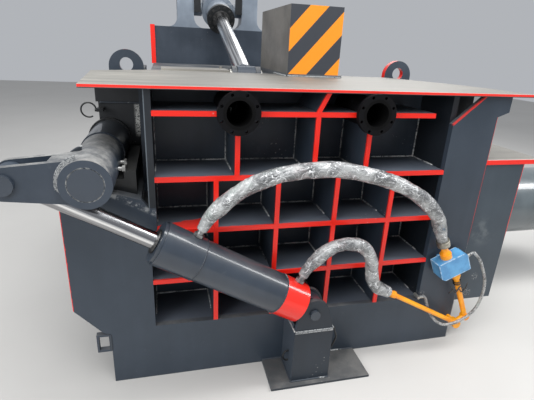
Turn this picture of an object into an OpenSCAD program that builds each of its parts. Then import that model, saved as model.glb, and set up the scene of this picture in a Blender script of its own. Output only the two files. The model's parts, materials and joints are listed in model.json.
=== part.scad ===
/* [Front frame] */
// Width of the front plate at the floor
base_w = 1900; // [1700:10:2100]
// Height from the floor to the underside of the lid plate
frame_h = 1426; // [1386:10:1466]
// Thickness of the heavy plates
plate_t = 30; // [20:1:40]
// Depth of the rib cells behind the front plate
cell_depth = 290; // [250:5:330]
// Thickness of each rib
rib_t = 22; // [16:1:28]
// Left edge of the rib window, from the middle of the base
window_left = -742; // [-780:1:-700]
// Right edge of the rib window
window_right = 700; // [660:1:740]
// Height of the window's lower edge
window_sill = 305; // [280:5:330]

/* [Press chamber] */
// Rear end of the chamber, from the front plate
chamber_back = 2440; // [2300:10:2600]
// Height of the chamber floor
floor_z = 330; // [310:5:350]
// Height of the lid's pressing face
press_top = 955; // [900:5:1000]

/* [Lid] */
// Thickness of the lid's top plate
lid_plate_t = 14; // [10:1:20]
// Rear edge of the lid's top plate
lid_plate_back = 965; // [900:5:1000]
// Lid hinge, distance behind the front plate
lid_hinge_y = 2300; // [2250:5:2320]
// Lid hinge height
lid_hinge_z = 1230; // [1200:5:1260]

/* [Lid cylinder] */
// Middle of the lid cylinder, left or right of the base's middle
lid_cyl_x = -130; // [-160:1:-100]
// Trunnion, distance behind the front plate
trunnion_y = 2600; // [2580:1:2620]
// Trunnion height
trunnion_z = 1909; // [1890:1:1930]
// Outside diameter of the lid cylinder
lid_cyl_d = 220; // [200:1:230]
// Diameter of the lid cylinder's rod
lid_rod_d = 118; // [100:1:124]

/* [Crank and shaft] */
// Shaft axis, left of the base's middle
shaft_x = -945; // [-960:1:-930]
// Shaft axis height
shaft_z = 1106; // [1090:1:1120]
// Shaft diameter
shaft_d = 125; // [110:1:130]
// Diameter of the crank hub
hub_d = 186; // [166:1:190]
// Distance from the shaft axis to the crank pin
crank_r = 276; // [266:1:290]

/* [Crank cylinder] */
// Pedestal pin, right of the base's middle
pedestal_x = 3; // [-10:1:20]
// Pedestal pin height
pedestal_z = 408; // [395:1:420]
// Middle plane of the crank cylinder, in front of the front plate
crank_plane = -118; // [-125:1:-110]
// Outside diameter of the crank cylinder
tube_d = 190; // [175:1:194]
// Bore of the crank cylinder
tube_bore_d = 150; // [140:1:155]
// Rod diameter of the crank cylinder
rod_d = 75; // [60:1:76]
// Diameter of the pins at both ends of the crank cylinder
eye_pin_d = 50; // [40:1:56]

/* [Side ram] */
// Middle of the side ram behind the front plate
side_ram_y = 580; // [570:1:590]
// Middle height of the side ram
side_ram_z = 640; // [630:1:650]
// Outside diameter of the side cylinder
side_cyl_d = 460; // [420:5:480]
// Stroke of the side ram
side_stroke = 940; // [800:10:940]

/* [Hidden] */
$fn = 64;
dark = [0.26, 0.30, 0.35];
light_steel = [0.74, 0.73, 0.70];
red = [0.95, 0.15, 0.08];
seat = 0.3;
run = 0.05;
base_l = -base_w / 2;
base_r = base_w / 2;
frame_top = frame_h - seat;
wall_t = plate_t;
wall_y = cell_depth;
inner_y = cell_depth + 40;
left_outer = window_left - wall_t;
right_outer = window_right + wall_t;
upper_left = window_left + wall_t;
belly_z = floor_z - 40;
rib_rows = [window_sill + 742, window_sill + 495, window_sill + 242];
rib_columns = [-450, -162, 131, 428];
upper_columns = [-357, 5, 265];
top_rib_z = frame_h - 96;
top_rib_r = window_right - 105;
lock_z = frame_h - 88;
lock_xs = [-360, 265];
lock_bore_r = 54;
lock_tube_r = 70;
lock_flange_r = 92;
lock_flange_t = 25;
lid_front = -20;
lock_front = lid_front - lock_flange_t - 1;
lock_bolt_r = 7;
lock_bolt_circle_r = 80;
wing_l = shaft_x - 155;
wing_low_z = 433;
wing_root_z = 285;
notch_in_x = shaft_x - 75;
notch_top_z = shaft_z - 106;
notch_mid = [shaft_x + 75, notch_top_z - 10];
notch_low = [left_outer, notch_top_z - 39];
notch_foot_z = notch_top_z - 79;
post_r = base_r - 3;
post_cut_z = frame_h - 136;
post_cut_x = base_r - 97;
horn_x = base_r + 58;
horn_z = frame_h - 100;
recess_y = 590;
recess_t = 20;
recess_l = shaft_x - 47;
recess_low_z = 700;
recess_step_z = frame_h - 130;
flap_back = chamber_back - 110;
flap_sill_z = shaft_z + 14;
back_wall_z = lid_hinge_z - 50;
skid_w = 160;
skid_t = 24;
cross_member_ys = [inner_y + 70, chamber_back / 2 + 80, chamber_back - 240];
cross_member_t = 40;
rear_plate_t = 60;
ear_y = 1000;
ear_t = 40;
wall_step_y = ear_y + ear_t + 15;
flap_front = wall_step_y + 10;
ear_r = 100;
ear_hole_r = 40;
ear_z = frame_h + 25;
ear_low_z = shaft_z + 84;
ear_left_x = left_outer - ear_r;
ear_right_x = right_outer + 219;
lid_left = -975;
lid_corner = [-1040, 770];
lid_right = 1135;
lid_top = frame_h + lid_plate_t;
lid_gap = 7;
lid_skin = 30;
lid_box_front = inner_y + 11;
lid_box_back = lid_hinge_y - 90;
lid_bevel_z = press_top + 225;
lid_bevel_y = lid_box_front + 34;
lug_y = lid_plate_back + 95;
lug_z = frame_h - 18;
pocket_half = 110;
pocket_back = lug_y + 262;
pocket_floor = frame_h - 116;
lug_gap = 62;
lug_t = 32;
lid_pin_r = 35;
hinge_pin_r = 40;
hinge_xs = [-560, 520];
hinge_web_t = 59;
box_l = 68;
box_r = 395;
box_front = 755;
box_back = 1490;
box_h = 400;
box_skin = 12;
box_base_t = 15;
strip_w = 220;
gantry_l = -715;
gantry_r = 455;
gantry_front = trunnion_y - 100;
gantry_back = trunnion_y + 100;
beam_t = plate_t;
beam_y = gantry_front + beam_t;
gantry_top = trunnion_z - 169;
gantry_low = trunnion_z - 519;
gantry_leg_w = 180;
gantry_foot_t = 60;
column_gap = 225;
column_w = 152;
column_top = trunnion_z + 161;
column_flare = 90;
trunnion_pin_r = 60;
lid_cyl_wall = 20;
lid_bore_d = lid_cyl_d - 2 * lid_cyl_wall;
lid_hub_r = 150;
lid_cyl_angle = atan2(lug_z - trunnion_z, lug_y - trunnion_y);
lid_cyl_len = norm([lug_y - trunnion_y, lug_z - trunnion_z]);
lid_gland_s = 315;
lid_gland_t = 40;
lid_tail_s = -560;
lid_piston_s = 154;
lid_piston_t = 58;
hub_front = -220;
hub_back = 245;
housing_bore_r = hub_d / 2 + 5;
cheek_t = 30;
eye_half = 40;
eye_gap = 2;
crank_eye_r = 62;
pin_x = shaft_x - crank_r;
pin_r = eye_pin_d / 2 + 4;
pin_head_r = 38;
pin_head_t = 14;
cheek_front = crank_plane - eye_half - eye_gap;
cheek_back = crank_plane + eye_half + eye_gap;
cyl_angle = atan2(shaft_z - pedestal_z, pin_x - pedestal_x);
cyl_len = norm([pin_x - pedestal_x, shaft_z - pedestal_z]);
cap_start = 78;
cap_end = 206;
head_start = 630;
head_end = 826;
piston_s = cap_end + 416;
cap_r = tube_d / 2 + 2;
port_s = [136, 681];
port_h = 130;
port_r = 16;
ear_plate_t = 22;
pedestal_l = pedestal_x - 93;
pedestal_r = pedestal_x + 105;
pedestal_front = -182;
pedestal_top = pedestal_z - 90;
pedestal_ear_r = 76;
foot_t = 12;
valve_x = 813;
valve_z = 546;
valve_tilt = 24;
valve_w = 172;
valve_h = 112;
valve_front = -100;
valve_back = -20;
valve_corner = 26;
collar_top = 78;
pipe_start = [446, -80, 422];
tee = [928, -60, 152];
pipe_way = tee + [20, 0, -10] - pipe_start;
pilot_start = 30;
pilot_end = [672, -34, 334];
housing_r = base_r + 245;
housing_low = 257;
housing_high = 1081;
housing_top_t = 24;
housing_plate_t = 30;
side_ram_half_y = 245;
side_ram_low = 335;
side_ram_high = 945;
side_ram_len = housing_r - window_right - 95;
ram_skin = 40;
side_rod_r = 130;
side_cyl_wall = 45;
rear_ram_t = 180;
rear_stroke = 1380;
rear_x = (window_left + window_right) / 2;
rear_piston_y = chamber_back + 240 + rear_stroke;
side_piston_x = housing_r + 240 + side_stroke;
rear_cyl_d = 320;
rear_cyl_wall = 30;
rear_rod_r = 90;

// A point beside a cylinder port: s along the cylinder, h out from its middle line
function port_point(s, h) = [pedestal_x, crank_plane, pedestal_z]
    + s * [cos(cyl_angle), 0, sin(cyl_angle)] + h * [sin(cyl_angle), 0, -cos(cyl_angle)];

// A point of the valve block: x along it, z up its ports
function valve_point(x, z) = [valve_x, (valve_front + valve_back) / 2, valve_z]
    + x * [cos(valve_tilt), 0, sin(valve_tilt)] + z * [-sin(valve_tilt), 0, cos(valve_tilt)];

// Routes of the three hoses, as points along the middle of each
upper_route = concat(
    [port_point(port_s[1], port_h), port_point(port_s[1], port_h + 60)],
    [
        [-448, -130, 962], [-380, -138, 1022], [-290, -144, 1074], [-180, -148, 1108],
        [-60, -150, 1123], [60, -150, 1120], [180, -148, 1098], [300, -144, 1064],
        [410, -138, 1020], [500, -130, 968], [578, -120, 906], [640, -106, 838]
    ],
    [valve_point(-15, valve_h / 2 + collar_top + 100), valve_point(-15, valve_h / 2 + collar_top + seat)]
);
lower_route = concat(
    [port_point(port_s[0], port_h), port_point(port_s[0], port_h + 50)],
    [
        [24, -124, 690], [84, -126, 732], [150, -126, 748], [216, -124, 736], [268, -120, 700],
        [300, -116, 646], [314, -110, 584], [328, -104, 524], [362, -94, 474]
    ],
    [pipe_start - 42 * pipe_way / norm(pipe_way), pipe_start - seat * pipe_way / norm(pipe_way)]
);
pilot_route = concat(
    [valve_point(valve_w / 2 + pilot_start + seat, 0), valve_point(valve_w / 2 + pilot_start + 26, 0)],
    [
        [950, -66, 600], [984, -74, 562], [1012, -80, 508], [1036, -84, 450], [1046, -88, 389],
        [1042, -90, 330], [1023, -92, 267], [985, -94, 222], [935, -98, 196], [890, -100, 182],
        [852, -94, 172], [820, -80, 170], [794, -62, 184], [770, -46, 214], [750, -38, 250], [734, -34, 292]
    ],
    [pilot_end + [50, 0, -14], pilot_end + [36, 0, 0], pilot_end + [26 + seat, 0, 0]]
);

// A box between two corners
module box(x0, x1, y0, y1, z0, z1) {
    translate([x0, y0, z0]) cube([x1 - x0, y1 - y0, z1 - z0]);
}

// An outline in X and Z, given a thickness along Y
module upright(points, y0, y1) {
    translate([0, y1, 0]) rotate([90, 0, 0]) linear_extrude(y1 - y0) polygon(points);
}

// An outline in Y and Z, given a thickness along X
module sideways(points, x0, x1) {
    translate([x0, 0, 0]) rotate([90, 0, 90]) linear_extrude(x1 - x0) polygon(points);
}

// A round bar along Y
module bar_y(x, z, r, y0, y1) {
    translate([x, y1, z]) rotate([90, 0, 0]) cylinder(r = r, h = y1 - y0);
}

// A round bar along X
module bar_x(y, z, r, x0, x1) {
    translate([x0, y, z]) rotate([0, 90, 0]) cylinder(r = r, h = x1 - x0);
}

// A round bar between two points
module rod_between(a, b, r) {
    d = b - a;
    l = norm(d);
    translate(a) rotate([0, acos(d[2] / l), atan2(d[1], d[0])]) cylinder(r = r, h = l);
}

// Points of an arc in the plane, from one angle to another
function arc(cx, cy, r, a0, a1, n = 12) =
    [for (i = [0:n]) [cx + r * cos(a0 + (a1 - a0) * i / n), cy + r * sin(a0 + (a1 - a0) * i / n)]];

// Direction of a route at one of its points
function unit(v) = v / norm(v);
function heading(p, i) = unit(p[min(i + 1, len(p) - 1)] - p[max(i - 1, 0)]);

// A tube swept along a route, one ring of points at each of the route's points
module swept_tube(route, r, sides = 10) {
    n = len(route);
    rings = [
        for (i = [0:n - 1])
            let (t = heading(route, i), u = unit(cross(t, [0, 1, 0])), v = cross(t, u))
                for (k = [0:sides - 1])
                    route[i] + r * (cos(360 * k / sides) * u + sin(360 * k / sides) * v)
    ];
    walls = [
        for (i = [0:n - 2], k = [0:sides - 1])
            let (a = i * sides + k, b = i * sides + (k + 1) % sides)
                [a, a + sides, b + sides, b]
    ];
    start = [for (k = [0:sides - 1]) k];
    finish = [for (k = [sides - 1:-1:0]) (n - 1) * sides + k];
    polyhedron(rings, concat(walls, [start], [finish]));
}

// Local frame of the crank cylinder: Z runs from the pedestal pin to the crank pin
module along_crank_cylinder() {
    translate([pedestal_x, crank_plane, pedestal_z]) rotate([0, 90 - cyl_angle, 0]) children();
}

// Local frame of the lid cylinder: Z runs from the trunnion to the lid lug
module along_lid_cylinder() {
    translate([lid_cyl_x, trunnion_y, trunnion_z]) rotate([lid_cyl_angle - 90, 0, 0]) children();
}

module front_plate() {
    color(dark) upright([
        [base_l, 0], [base_l, wing_root_z], [base_l - 30, wing_root_z + 10], [wing_l, wing_low_z],
        [wing_l, notch_top_z], [notch_in_x, notch_top_z], notch_mid, notch_low,
        [window_left, notch_foot_z], [upper_left, notch_foot_z], [upper_left, rib_rows[1] + rib_t / 2],
        [window_left, rib_rows[1] + rib_t / 2], [window_left, window_sill],
        [window_right, window_sill], [window_right, post_cut_z], [post_cut_x, frame_top],
        [horn_x, frame_top], [horn_x, horn_z + 24], [post_r, horn_z], [post_r, housing_low],
        [base_r, housing_low], [base_r, 0]
    ], 0, plate_t);
}

// One upright rib between two shelves
module upright_rib(x, z0, z1) {
    box(x - rib_t / 2, x + rib_t / 2, 0, wall_y, z0 + rib_t / 2 + seat, z1 - rib_t / 2 - seat);
}

// Room for the two lock tubes
module lock_tube_holes(y0, y1) {
    for (x = lock_xs) bar_y(x, lock_z, lock_tube_r, y0 - 1, y1 + 1);
}

module rib_grid() {
    tip_z = top_rib_z + rib_t / 2 + seat;
    color(dark) {
        box(upper_left, window_right, 0, wall_y, rib_rows[0] - rib_t / 2, rib_rows[0] + rib_t / 2);
        for (z = [rib_rows[1], rib_rows[2]])
            box(window_left, window_right, 0, wall_y, z - rib_t / 2, z + rib_t / 2);
        box(window_left, window_right, plate_t, wall_y, belly_z, window_sill);
        for (x = rib_columns) {
            upright_rib(x, rib_rows[1], rib_rows[0]);
            upright_rib(x, rib_rows[2], rib_rows[1]);
            upright_rib(x, window_sill - rib_t / 2, rib_rows[2]);
        }
        for (x = upper_columns) difference() {
            upright_rib(x, rib_rows[0], top_rib_z);
            lock_tube_holes(0, wall_y);
        }
        difference() {
            box(upper_left, top_rib_r, 0, wall_y, top_rib_z - rib_t / 2, top_rib_z + rib_t / 2);
            lock_tube_holes(0, wall_y);
        }
        upright([
            [upper_columns[1] - rib_t / 2, tip_z], [upper_columns[1] + rib_t / 2, tip_z],
            [upper_columns[1] + 53, frame_top], [upper_columns[1] + 31, frame_top]
        ], 0, wall_y);
    }
}

module end_wall() {
    color(dark) difference() {
        box(left_outer, right_outer, wall_y, inner_y, belly_z, frame_top);
        lock_tube_holes(wall_y, inner_y);
    }
}

module side_plates() {
    low_top = notch_foot_z - 21;
    color(dark) {
        union() {
            sideways([
                [plate_t, window_sill], [wall_y, window_sill], [wall_y, low_top], [plate_t, low_top]
            ], left_outer, window_left);
            sideways([
                [plate_t, rib_rows[1] + rib_t / 2], [wall_y, rib_rows[1] + rib_t / 2],
                [wall_y, frame_top], [0, frame_top], [0, notch_foot_z], [plate_t, notch_foot_z]
            ], window_left, upper_left);
        }
        union() {
            sideways([
                [plate_t, window_sill], [wall_y, window_sill], [wall_y, frame_top], [plate_t, frame_top]
            ], window_right, right_outer);
            box(right_outer, post_r - 40, wall_y / 2, wall_y / 2 + 20, recess_low_z, frame_top);
        }
    }
}

module recess_wall() {
    color(dark) difference() {
        upright([
            [recess_l, recess_low_z], [left_outer, recess_low_z], [left_outer, frame_top],
            [recess_l - 12, frame_top], [recess_l - 12, recess_step_z], [recess_l, recess_step_z]
        ], recess_y, recess_y + recess_t);
        bar_y(shaft_x, shaft_z, shaft_d / 2 + 4, recess_y - 1, recess_y + recess_t + 1);
    }
}

module ledge_plate() {
    t = 20;
    color(dark) upright([
        [wing_l, notch_top_z - t], [notch_in_x, notch_top_z - t], notch_mid - [0, t],
        notch_low - [0, t], notch_low, notch_mid, [notch_in_x, notch_top_z], [wing_l, notch_top_z]
    ], plate_t, recess_y);
}

module chamber_walls() {
    slot_y0 = side_ram_y - side_ram_half_y - 2;
    slot_y1 = side_ram_y + side_ram_half_y + 2;
    right_sill_z = frame_h - 156;
    color(dark) {
        sideways([
            [inner_y, belly_z], [chamber_back, belly_z], [chamber_back, back_wall_z],
            [flap_back, back_wall_z], [flap_back, flap_sill_z], [wall_step_y, flap_sill_z],
            [wall_step_y, frame_top], [inner_y, frame_top]
        ], left_outer, window_left);
        difference() {
            sideways([
                [inner_y, belly_z], [chamber_back, belly_z], [chamber_back, back_wall_z],
                [flap_back, back_wall_z], [flap_back, right_sill_z], [wall_step_y, right_sill_z],
                [wall_step_y, frame_top], [inner_y, frame_top]
            ], window_right, right_outer);
            box(window_right - 1, right_outer + 1, slot_y0, slot_y1, side_ram_low - 2, side_ram_high + 2);
        }
    }
}

module chamber_floor() {
    color(dark) box(window_left, window_right, inner_y, chamber_back, belly_z, floor_z);
}

module base_skids() {
    web = (skid_w - skid_t) / 2;
    color(dark) {
        for (x = [left_outer, right_outer - skid_w]) {
            box(x, x + skid_w, plate_t, chamber_back, 0, skid_t);
            box(x + web, x + web + skid_t, plate_t, chamber_back, skid_t, belly_z - skid_t);
            box(x, x + skid_w, plate_t, chamber_back, belly_z - skid_t, belly_z);
        }
        for (y = cross_member_ys)
            box(left_outer + skid_w, right_outer - skid_w, y, y + cross_member_t, 0, belly_z);
    }
}

// One cheek of a lid hinge bracket
module hinge_cheek(x0, x1) {
    difference() {
        sideways(concat(
            [[chamber_back, lid_hinge_z - 170], [chamber_back, back_wall_z]],
            arc(lid_hinge_y, lid_hinge_z, hinge_pin_r + 35, 60, 215),
            [[lid_hinge_y - 30, lid_hinge_z - 90], [chamber_back - 20, lid_hinge_z - 170]]
        ), x0, x1);
        bar_x(lid_hinge_y, lid_hinge_z, hinge_pin_r, x0 - 1, x1 + 1);
    }
}

module rear_frame() {
    color(dark) {
        difference() {
            box(left_outer, right_outer, chamber_back, chamber_back + rear_plate_t, 0, back_wall_z);
            bar_y(rear_x, side_ram_z, rear_rod_r + run, chamber_back - 1, chamber_back + rear_plate_t + 1);
        }
        for (x = hinge_xs) hinge_cheek(x - 60, x - 30);
        for (x = hinge_xs) hinge_cheek(x + 30, x + 60);
    }
}

// One lifting ear, welded to the outside of a chamber wall; side is -1 at the left, 1 at the right
module lifting_ear(x, wall_x, side) {
    difference() {
        upright(concat(
            [[wall_x, ear_low_z], [wall_x, ear_z - 60], [x - side * ear_r, ear_z - 60]],
            side > 0 ? arc(x, ear_z, ear_r, 180, 0, 24) : arc(x, ear_z, ear_r, 0, 180, 24),
            [[x + side * ear_r, ear_low_z + 100], [wall_x + side * 60, ear_low_z]]
        ), ear_y, ear_y + ear_t);
        bar_y(x, ear_z + 14, ear_hole_r, ear_y - 1, ear_y + ear_t + 1);
    }
}

module lifting_ears() {
    color(dark) {
        lifting_ear(ear_left_x, left_outer, -1);
        lifting_ear(ear_right_x, right_outer, 1);
    }
}

// Tube and flange that a lid-lock cylinder bolts to
module lock_flange(x) {
    color([0.12, 0.13, 0.15]) difference() {
        union() {
            bar_y(x, lock_z, lock_tube_r, lock_front, inner_y);
            bar_y(x, lock_z, lock_flange_r, lock_front, lock_front + lock_flange_t);
        }
        bar_y(x, lock_z, lock_bore_r, lock_front - 1, inner_y + 1);
        for (a = [0:45:315])
            bar_y(x + lock_bolt_circle_r * cos(a + 22.5), lock_z + lock_bolt_circle_r * sin(a + 22.5),
                lock_bolt_r, lock_front - 1, lock_front + lock_flange_t + 1);
    }
}

module left_lock_flange() {
    lock_flange(lock_xs[0]);
}

module right_lock_flange() {
    lock_flange(lock_xs[1]);
}

module lid_plate() {
    color(light_steel) translate([0, 0, frame_h]) linear_extrude(lid_plate_t) polygon([
        [lid_left, lid_front], [lid_right, lid_front], [lid_right - 25, lid_front + 320],
        [lid_right - 75, lid_front + 540], [lid_right - 290, lid_plate_back],
        [window_left + 2, lid_plate_back], lid_corner
    ]);
}

module lid_box() {
    l = window_left + lid_gap;
    r = window_right - lid_gap;
    hollow_back = lug_y - 150;
    skin_z = press_top + lid_skin + 10;
    web = hinge_web_t / 2;
    color(dark) difference() {
        union() {
            sideways([
                [lid_box_front, lid_bevel_z], [lid_bevel_y, press_top], [lid_box_back, press_top],
                [lid_box_back, frame_h], [lid_box_front, frame_h]
            ], l, r);
            for (x = hinge_xs) sideways(concat(
                [[lid_box_back, frame_h], [lid_box_back, lid_hinge_z - 80]],
                arc(lid_hinge_y, lid_hinge_z, hinge_pin_r + 30, -60, 60)
            ), x - web, x + web);
        }
        sideways([
            [lid_box_front + lid_skin, lid_bevel_z], [lid_bevel_y + lid_skin, skin_z],
            [hollow_back, skin_z], [hollow_back, frame_h + 1], [lid_box_front + lid_skin, frame_h + 1]
        ], l + lid_skin, r - lid_skin);
        for (x = hinge_xs)
            bar_x(lid_hinge_y, lid_hinge_z, hinge_pin_r + run, x - web - 1, x + web + 1);
        box(lid_cyl_x - pocket_half, lid_cyl_x + pocket_half, lid_plate_back, pocket_back,
            pocket_floor, frame_h + 1);
        for (x = lock_xs) bar_y(x, lock_z, lock_bore_r, lid_box_front - 1, lid_box_front + lid_skin + 1);
    }
}

module lid_edge_strip() {
    color(light_steel) {
        box(window_left + 72, window_left + 492, lid_plate_back, lid_plate_back + strip_w,
            frame_h, lid_top + 12);
        translate([window_left + 462, lid_plate_back + strip_w - 20, lid_top + 12])
            cylinder(r = 11, h = 12, $fn = 6);
    }
}

module striped_box() {
    low = lid_top + box_base_t;
    color([0.95, 0.62, 0.1]) difference() {
        union() {
            box(box_l, box_r, box_front, box_back, low, lid_top + box_h);
            box(box_l, box_r + 20, box_front - 10, lid_plate_back, lid_top, low);
            box(box_l, box_r, lid_plate_back, box_back, frame_h, low);
        }
        box(box_l + box_skin, box_r - box_skin, box_front + box_skin, box_back - box_skin,
            low + box_skin, lid_top + box_h - box_skin);
    }
}

// One of the two lid lugs, from its inner face outwards; side is -1 or 1
module lid_lug(side) {
    inner = lid_cyl_x + side * lug_gap;
    outer = inner + side * lug_t;
    difference() {
        sideways(concat(
            [[lug_y + 80, pocket_floor]],
            arc(lug_y, lug_z, lid_pin_r + 33, 0, 180, 16),
            [[lug_y - 80, pocket_floor]]
        ), min(inner, outer), max(inner, outer));
        bar_x(lug_y, lug_z, lid_pin_r, min(inner, outer) - 1, max(inner, outer) + 1);
    }
}

module lid_lugs() {
    color(dark) {
        lid_lug(-1);
        lid_lug(1);
    }
}

// A stub pin in one lug, with its head outside
module lid_lug_pin(side) {
    inner = lid_cyl_x + side * lug_gap;
    outer = inner + side * lug_t;
    head = outer + side * 12;
    bar_x(lug_y, lug_z, lid_pin_r, min(inner, outer), max(inner, outer));
    bar_x(lug_y, lug_z, lid_pin_r + 12, min(outer, head), max(outer, head));
}

module lid_lug_pins() {
    color([0.5, 0.5, 0.5]) {
        lid_lug_pin(-1);
        lid_lug_pin(1);
    }
}

module lid_hinge_pins() {
    color([0.5, 0.5, 0.5]) {
        for (x = hinge_xs) bar_x(lid_hinge_y, lid_hinge_z, hinge_pin_r, x - 75, x + 75);
    }
}

// One leg of the gantry, a channel on a foot plate
module gantry_leg(x) {
    web_y = gantry_back - beam_t;
    top = gantry_top - beam_t;
    r = x + gantry_leg_w;
    box(x, x + beam_t, beam_y, gantry_back, gantry_foot_t, top);
    box(r - beam_t, r, beam_y, gantry_back, gantry_foot_t, top);
    box(x + beam_t, r - beam_t, web_y, gantry_back, gantry_foot_t, top);
    box(x - 40, r + 40, gantry_front, gantry_back + 40, 0, gantry_foot_t);
    box(x, r, gantry_front, beam_y, gantry_foot_t, gantry_low);
}

module gantry_beam() {
    cut = lid_hub_r;
    color(dark) union() {
        box(gantry_l, gantry_r, gantry_front, beam_y, gantry_low, gantry_top);
        box(gantry_l - 41, gantry_l, gantry_front - 10, beam_y, gantry_low + 20, gantry_top + 10);
        difference() {
            box(gantry_l, gantry_r, beam_y, gantry_back, gantry_top - beam_t, gantry_top);
            box(lid_cyl_x - cut, lid_cyl_x + cut, trunnion_y - 20, gantry_back + 1,
                gantry_top - beam_t - 1, gantry_top + 1);
        }
        gantry_leg(gantry_l + 60);
        gantry_leg(gantry_r - gantry_leg_w - 60);
    }
}

// One trunnion column, with a foot that flares into the beam
module trunnion_column(x0) {
    x1 = x0 + column_w;
    flare_z = gantry_top + column_flare;
    difference() {
        upright(concat(
            arc(x0 - column_flare, flare_z, column_flare, -90, 0, 8),
            [[x0, column_top - 30], [x0 + 30, column_top], [x1 - 30, column_top], [x1, column_top - 30]],
            arc(x1 + column_flare, flare_z, column_flare, 180, 270, 8)
        ), gantry_front + 15, gantry_back - 5);
        bar_x(trunnion_y, trunnion_z, trunnion_pin_r + run, x0 - 1, x1 + 1);
    }
}

module trunnion_columns() {
    color([0.45, 0.52, 0.6]) {
        trunnion_column(lid_cyl_x - column_gap - column_w);
        trunnion_column(lid_cyl_x + column_gap);
    }
}

// One black guard plate beside a column, in front of the trunnion pin
module trunnion_guard(x0) {
    box(x0, x0 + 62, gantry_front, gantry_front + 34, trunnion_z - 32, trunnion_z + 120);
}

module trunnion_guards() {
    color([0.1, 0.1, 0.11]) {
        trunnion_guard(lid_cyl_x - column_gap + seat);
        trunnion_guard(lid_cyl_x + column_gap - seat - 62);
    }
}

module lid_barrel() {
    pin_in = lid_hub_r - 1;
    pin_out = column_gap + column_w - 10;
    body_end = lid_gland_s - lid_gland_t;
    color([0.35, 0.4, 0.46]) union() {
        along_lid_cylinder() difference() {
            union() {
                translate([0, 0, lid_tail_s]) cylinder(d = lid_cyl_d, h = body_end - lid_tail_s);
                translate([0, 0, -70]) cylinder(r = lid_hub_r, h = 140);
            }
            translate([0, 0, lid_tail_s + 40]) cylinder(d = lid_bore_d, h = lid_gland_s - lid_tail_s);
        }
        bar_x(trunnion_y, trunnion_z, trunnion_pin_r, lid_cyl_x - pin_out, lid_cyl_x - pin_in);
        bar_x(trunnion_y, trunnion_z, trunnion_pin_r, lid_cyl_x + pin_in, lid_cyl_x + pin_out);
    }
}

module lid_gland() {
    start = lid_gland_s - lid_gland_t;
    color([0.2, 0.22, 0.25]) along_lid_cylinder() difference() {
        union() {
            translate([0, 0, start]) cylinder(d = lid_cyl_d + 30, h = lid_gland_t);
            translate([0, 0, start - 60]) cylinder(d = lid_bore_d - 2 * run, h = 61);
        }
        translate([0, 0, start - 61]) cylinder(d = lid_rod_d + 2 * run, h = lid_gland_t + 62);
    }
}

module lid_rod() {
    eye_w = lug_gap - 3;
    color([0.8, 0.8, 0.82]) along_lid_cylinder() union() {
        translate([0, 0, lid_piston_s]) cylinder(d = lid_rod_d, h = lid_cyl_len - lid_piston_s - 50);
        translate([0, 0, lid_piston_s]) cylinder(d = lid_bore_d - 2 * run, h = lid_piston_t);
        translate([-eye_w, 0, lid_cyl_len]) rotate([0, 90, 0]) cylinder(r = lid_pin_r + 35, h = 2 * eye_w);
    }
}

module crank_shaft() {
    color([0.4, 0.42, 0.45]) bar_y(shaft_x, shaft_z, shaft_d / 2, hub_front - 1, flap_back + 80);
}

// Outline of a crank cheek, from the hub to the pin
function cheek_outline() = concat(
    arc(shaft_x, shaft_z, hub_d / 2 - 2, 80, -82, 20),
    arc(pin_x, shaft_z, crank_eye_r, 265, 95, 20)
);

module crank_arm() {
    web_l = shaft_x - hub_d / 2 - 40;
    color(dark) difference() {
        union() {
            bar_y(shaft_x, shaft_z, hub_d / 2, hub_front, hub_back);
            upright(cheek_outline(), cheek_front - cheek_t, cheek_front);
            upright(cheek_outline(), cheek_back, cheek_back + cheek_t);
            upright([
                [web_l, shaft_z + 62], [shaft_x - 60, shaft_z + 60],
                [shaft_x - 10, shaft_z + hub_d / 2 - 2], [web_l, shaft_z + 74]
            ], cheek_front, cheek_back);
        }
        bar_y(shaft_x, shaft_z, shaft_d / 2 + 0.02, hub_front - 1, hub_back + 1);
        bar_y(shaft_x, shaft_z, shaft_d / 2 + 3, hub_front - 1, hub_front + 3);
        bar_y(pin_x, shaft_z, pin_r, cheek_front - cheek_t - 1, cheek_front + 1);
        bar_y(pin_x, shaft_z, pin_r, cheek_back - 1, cheek_back + cheek_t + 1);
    }
}

module crank_pin() {
    color([0.3, 0.33, 0.37]) {
        union() {
            bar_y(pin_x, shaft_z, pin_r, cheek_front - cheek_t, cheek_front);
            bar_y(pin_x, shaft_z, pin_head_r, cheek_front - cheek_t - pin_head_t, cheek_front - cheek_t);
        }
        union() {
            bar_y(pin_x, shaft_z, pin_r, cheek_back, cheek_back + cheek_t);
            bar_y(pin_x, shaft_z, pin_head_r, cheek_back + cheek_t, cheek_back + cheek_t + pin_head_t);
        }
    }
}

// One set-screw of the crank hub
module hub_bolt(y) {
    translate([shaft_x + hub_d / 2 + 0.1, y, shaft_z]) rotate([0, 90, 0]) cylinder(r = 9, h = 14.9);
    translate([shaft_x + hub_d / 2 + 15, y, shaft_z]) rotate([0, 90, 0]) cylinder(r = 15, h = 12, $fn = 6);
}

module hub_bolts() {
    color([0.75, 0.75, 0.72]) {
        hub_bolt(-10);
        hub_bolt(90);
    }
}

module bearing_housing() {
    color([0.3, 0.34, 0.38]) difference() {
        bar_y(shaft_x, shaft_z, housing_bore_r, hub_back + 8, recess_y - 26);
        bar_y(shaft_x, shaft_z, shaft_d / 2 + run, hub_back, recess_y);
    }
}

module bearing_ring() {
    ring_r = housing_bore_r + 10;
    color([0.1, 0.1, 0.11]) {
        difference() {
            bar_y(shaft_x, shaft_z, ring_r, recess_y - 26, recess_y);
            bar_y(shaft_x, shaft_z, shaft_d / 2 + 4, recess_y - 27, recess_y + 1);
        }
        for (a = [15:30:345])
            translate([shaft_x + (ring_r - 5) * cos(a), recess_y - 26, shaft_z + (ring_r - 5) * sin(a)])
                rotate([90, 0, 0]) cylinder(r = 4, h = 8);
    }
}

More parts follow.
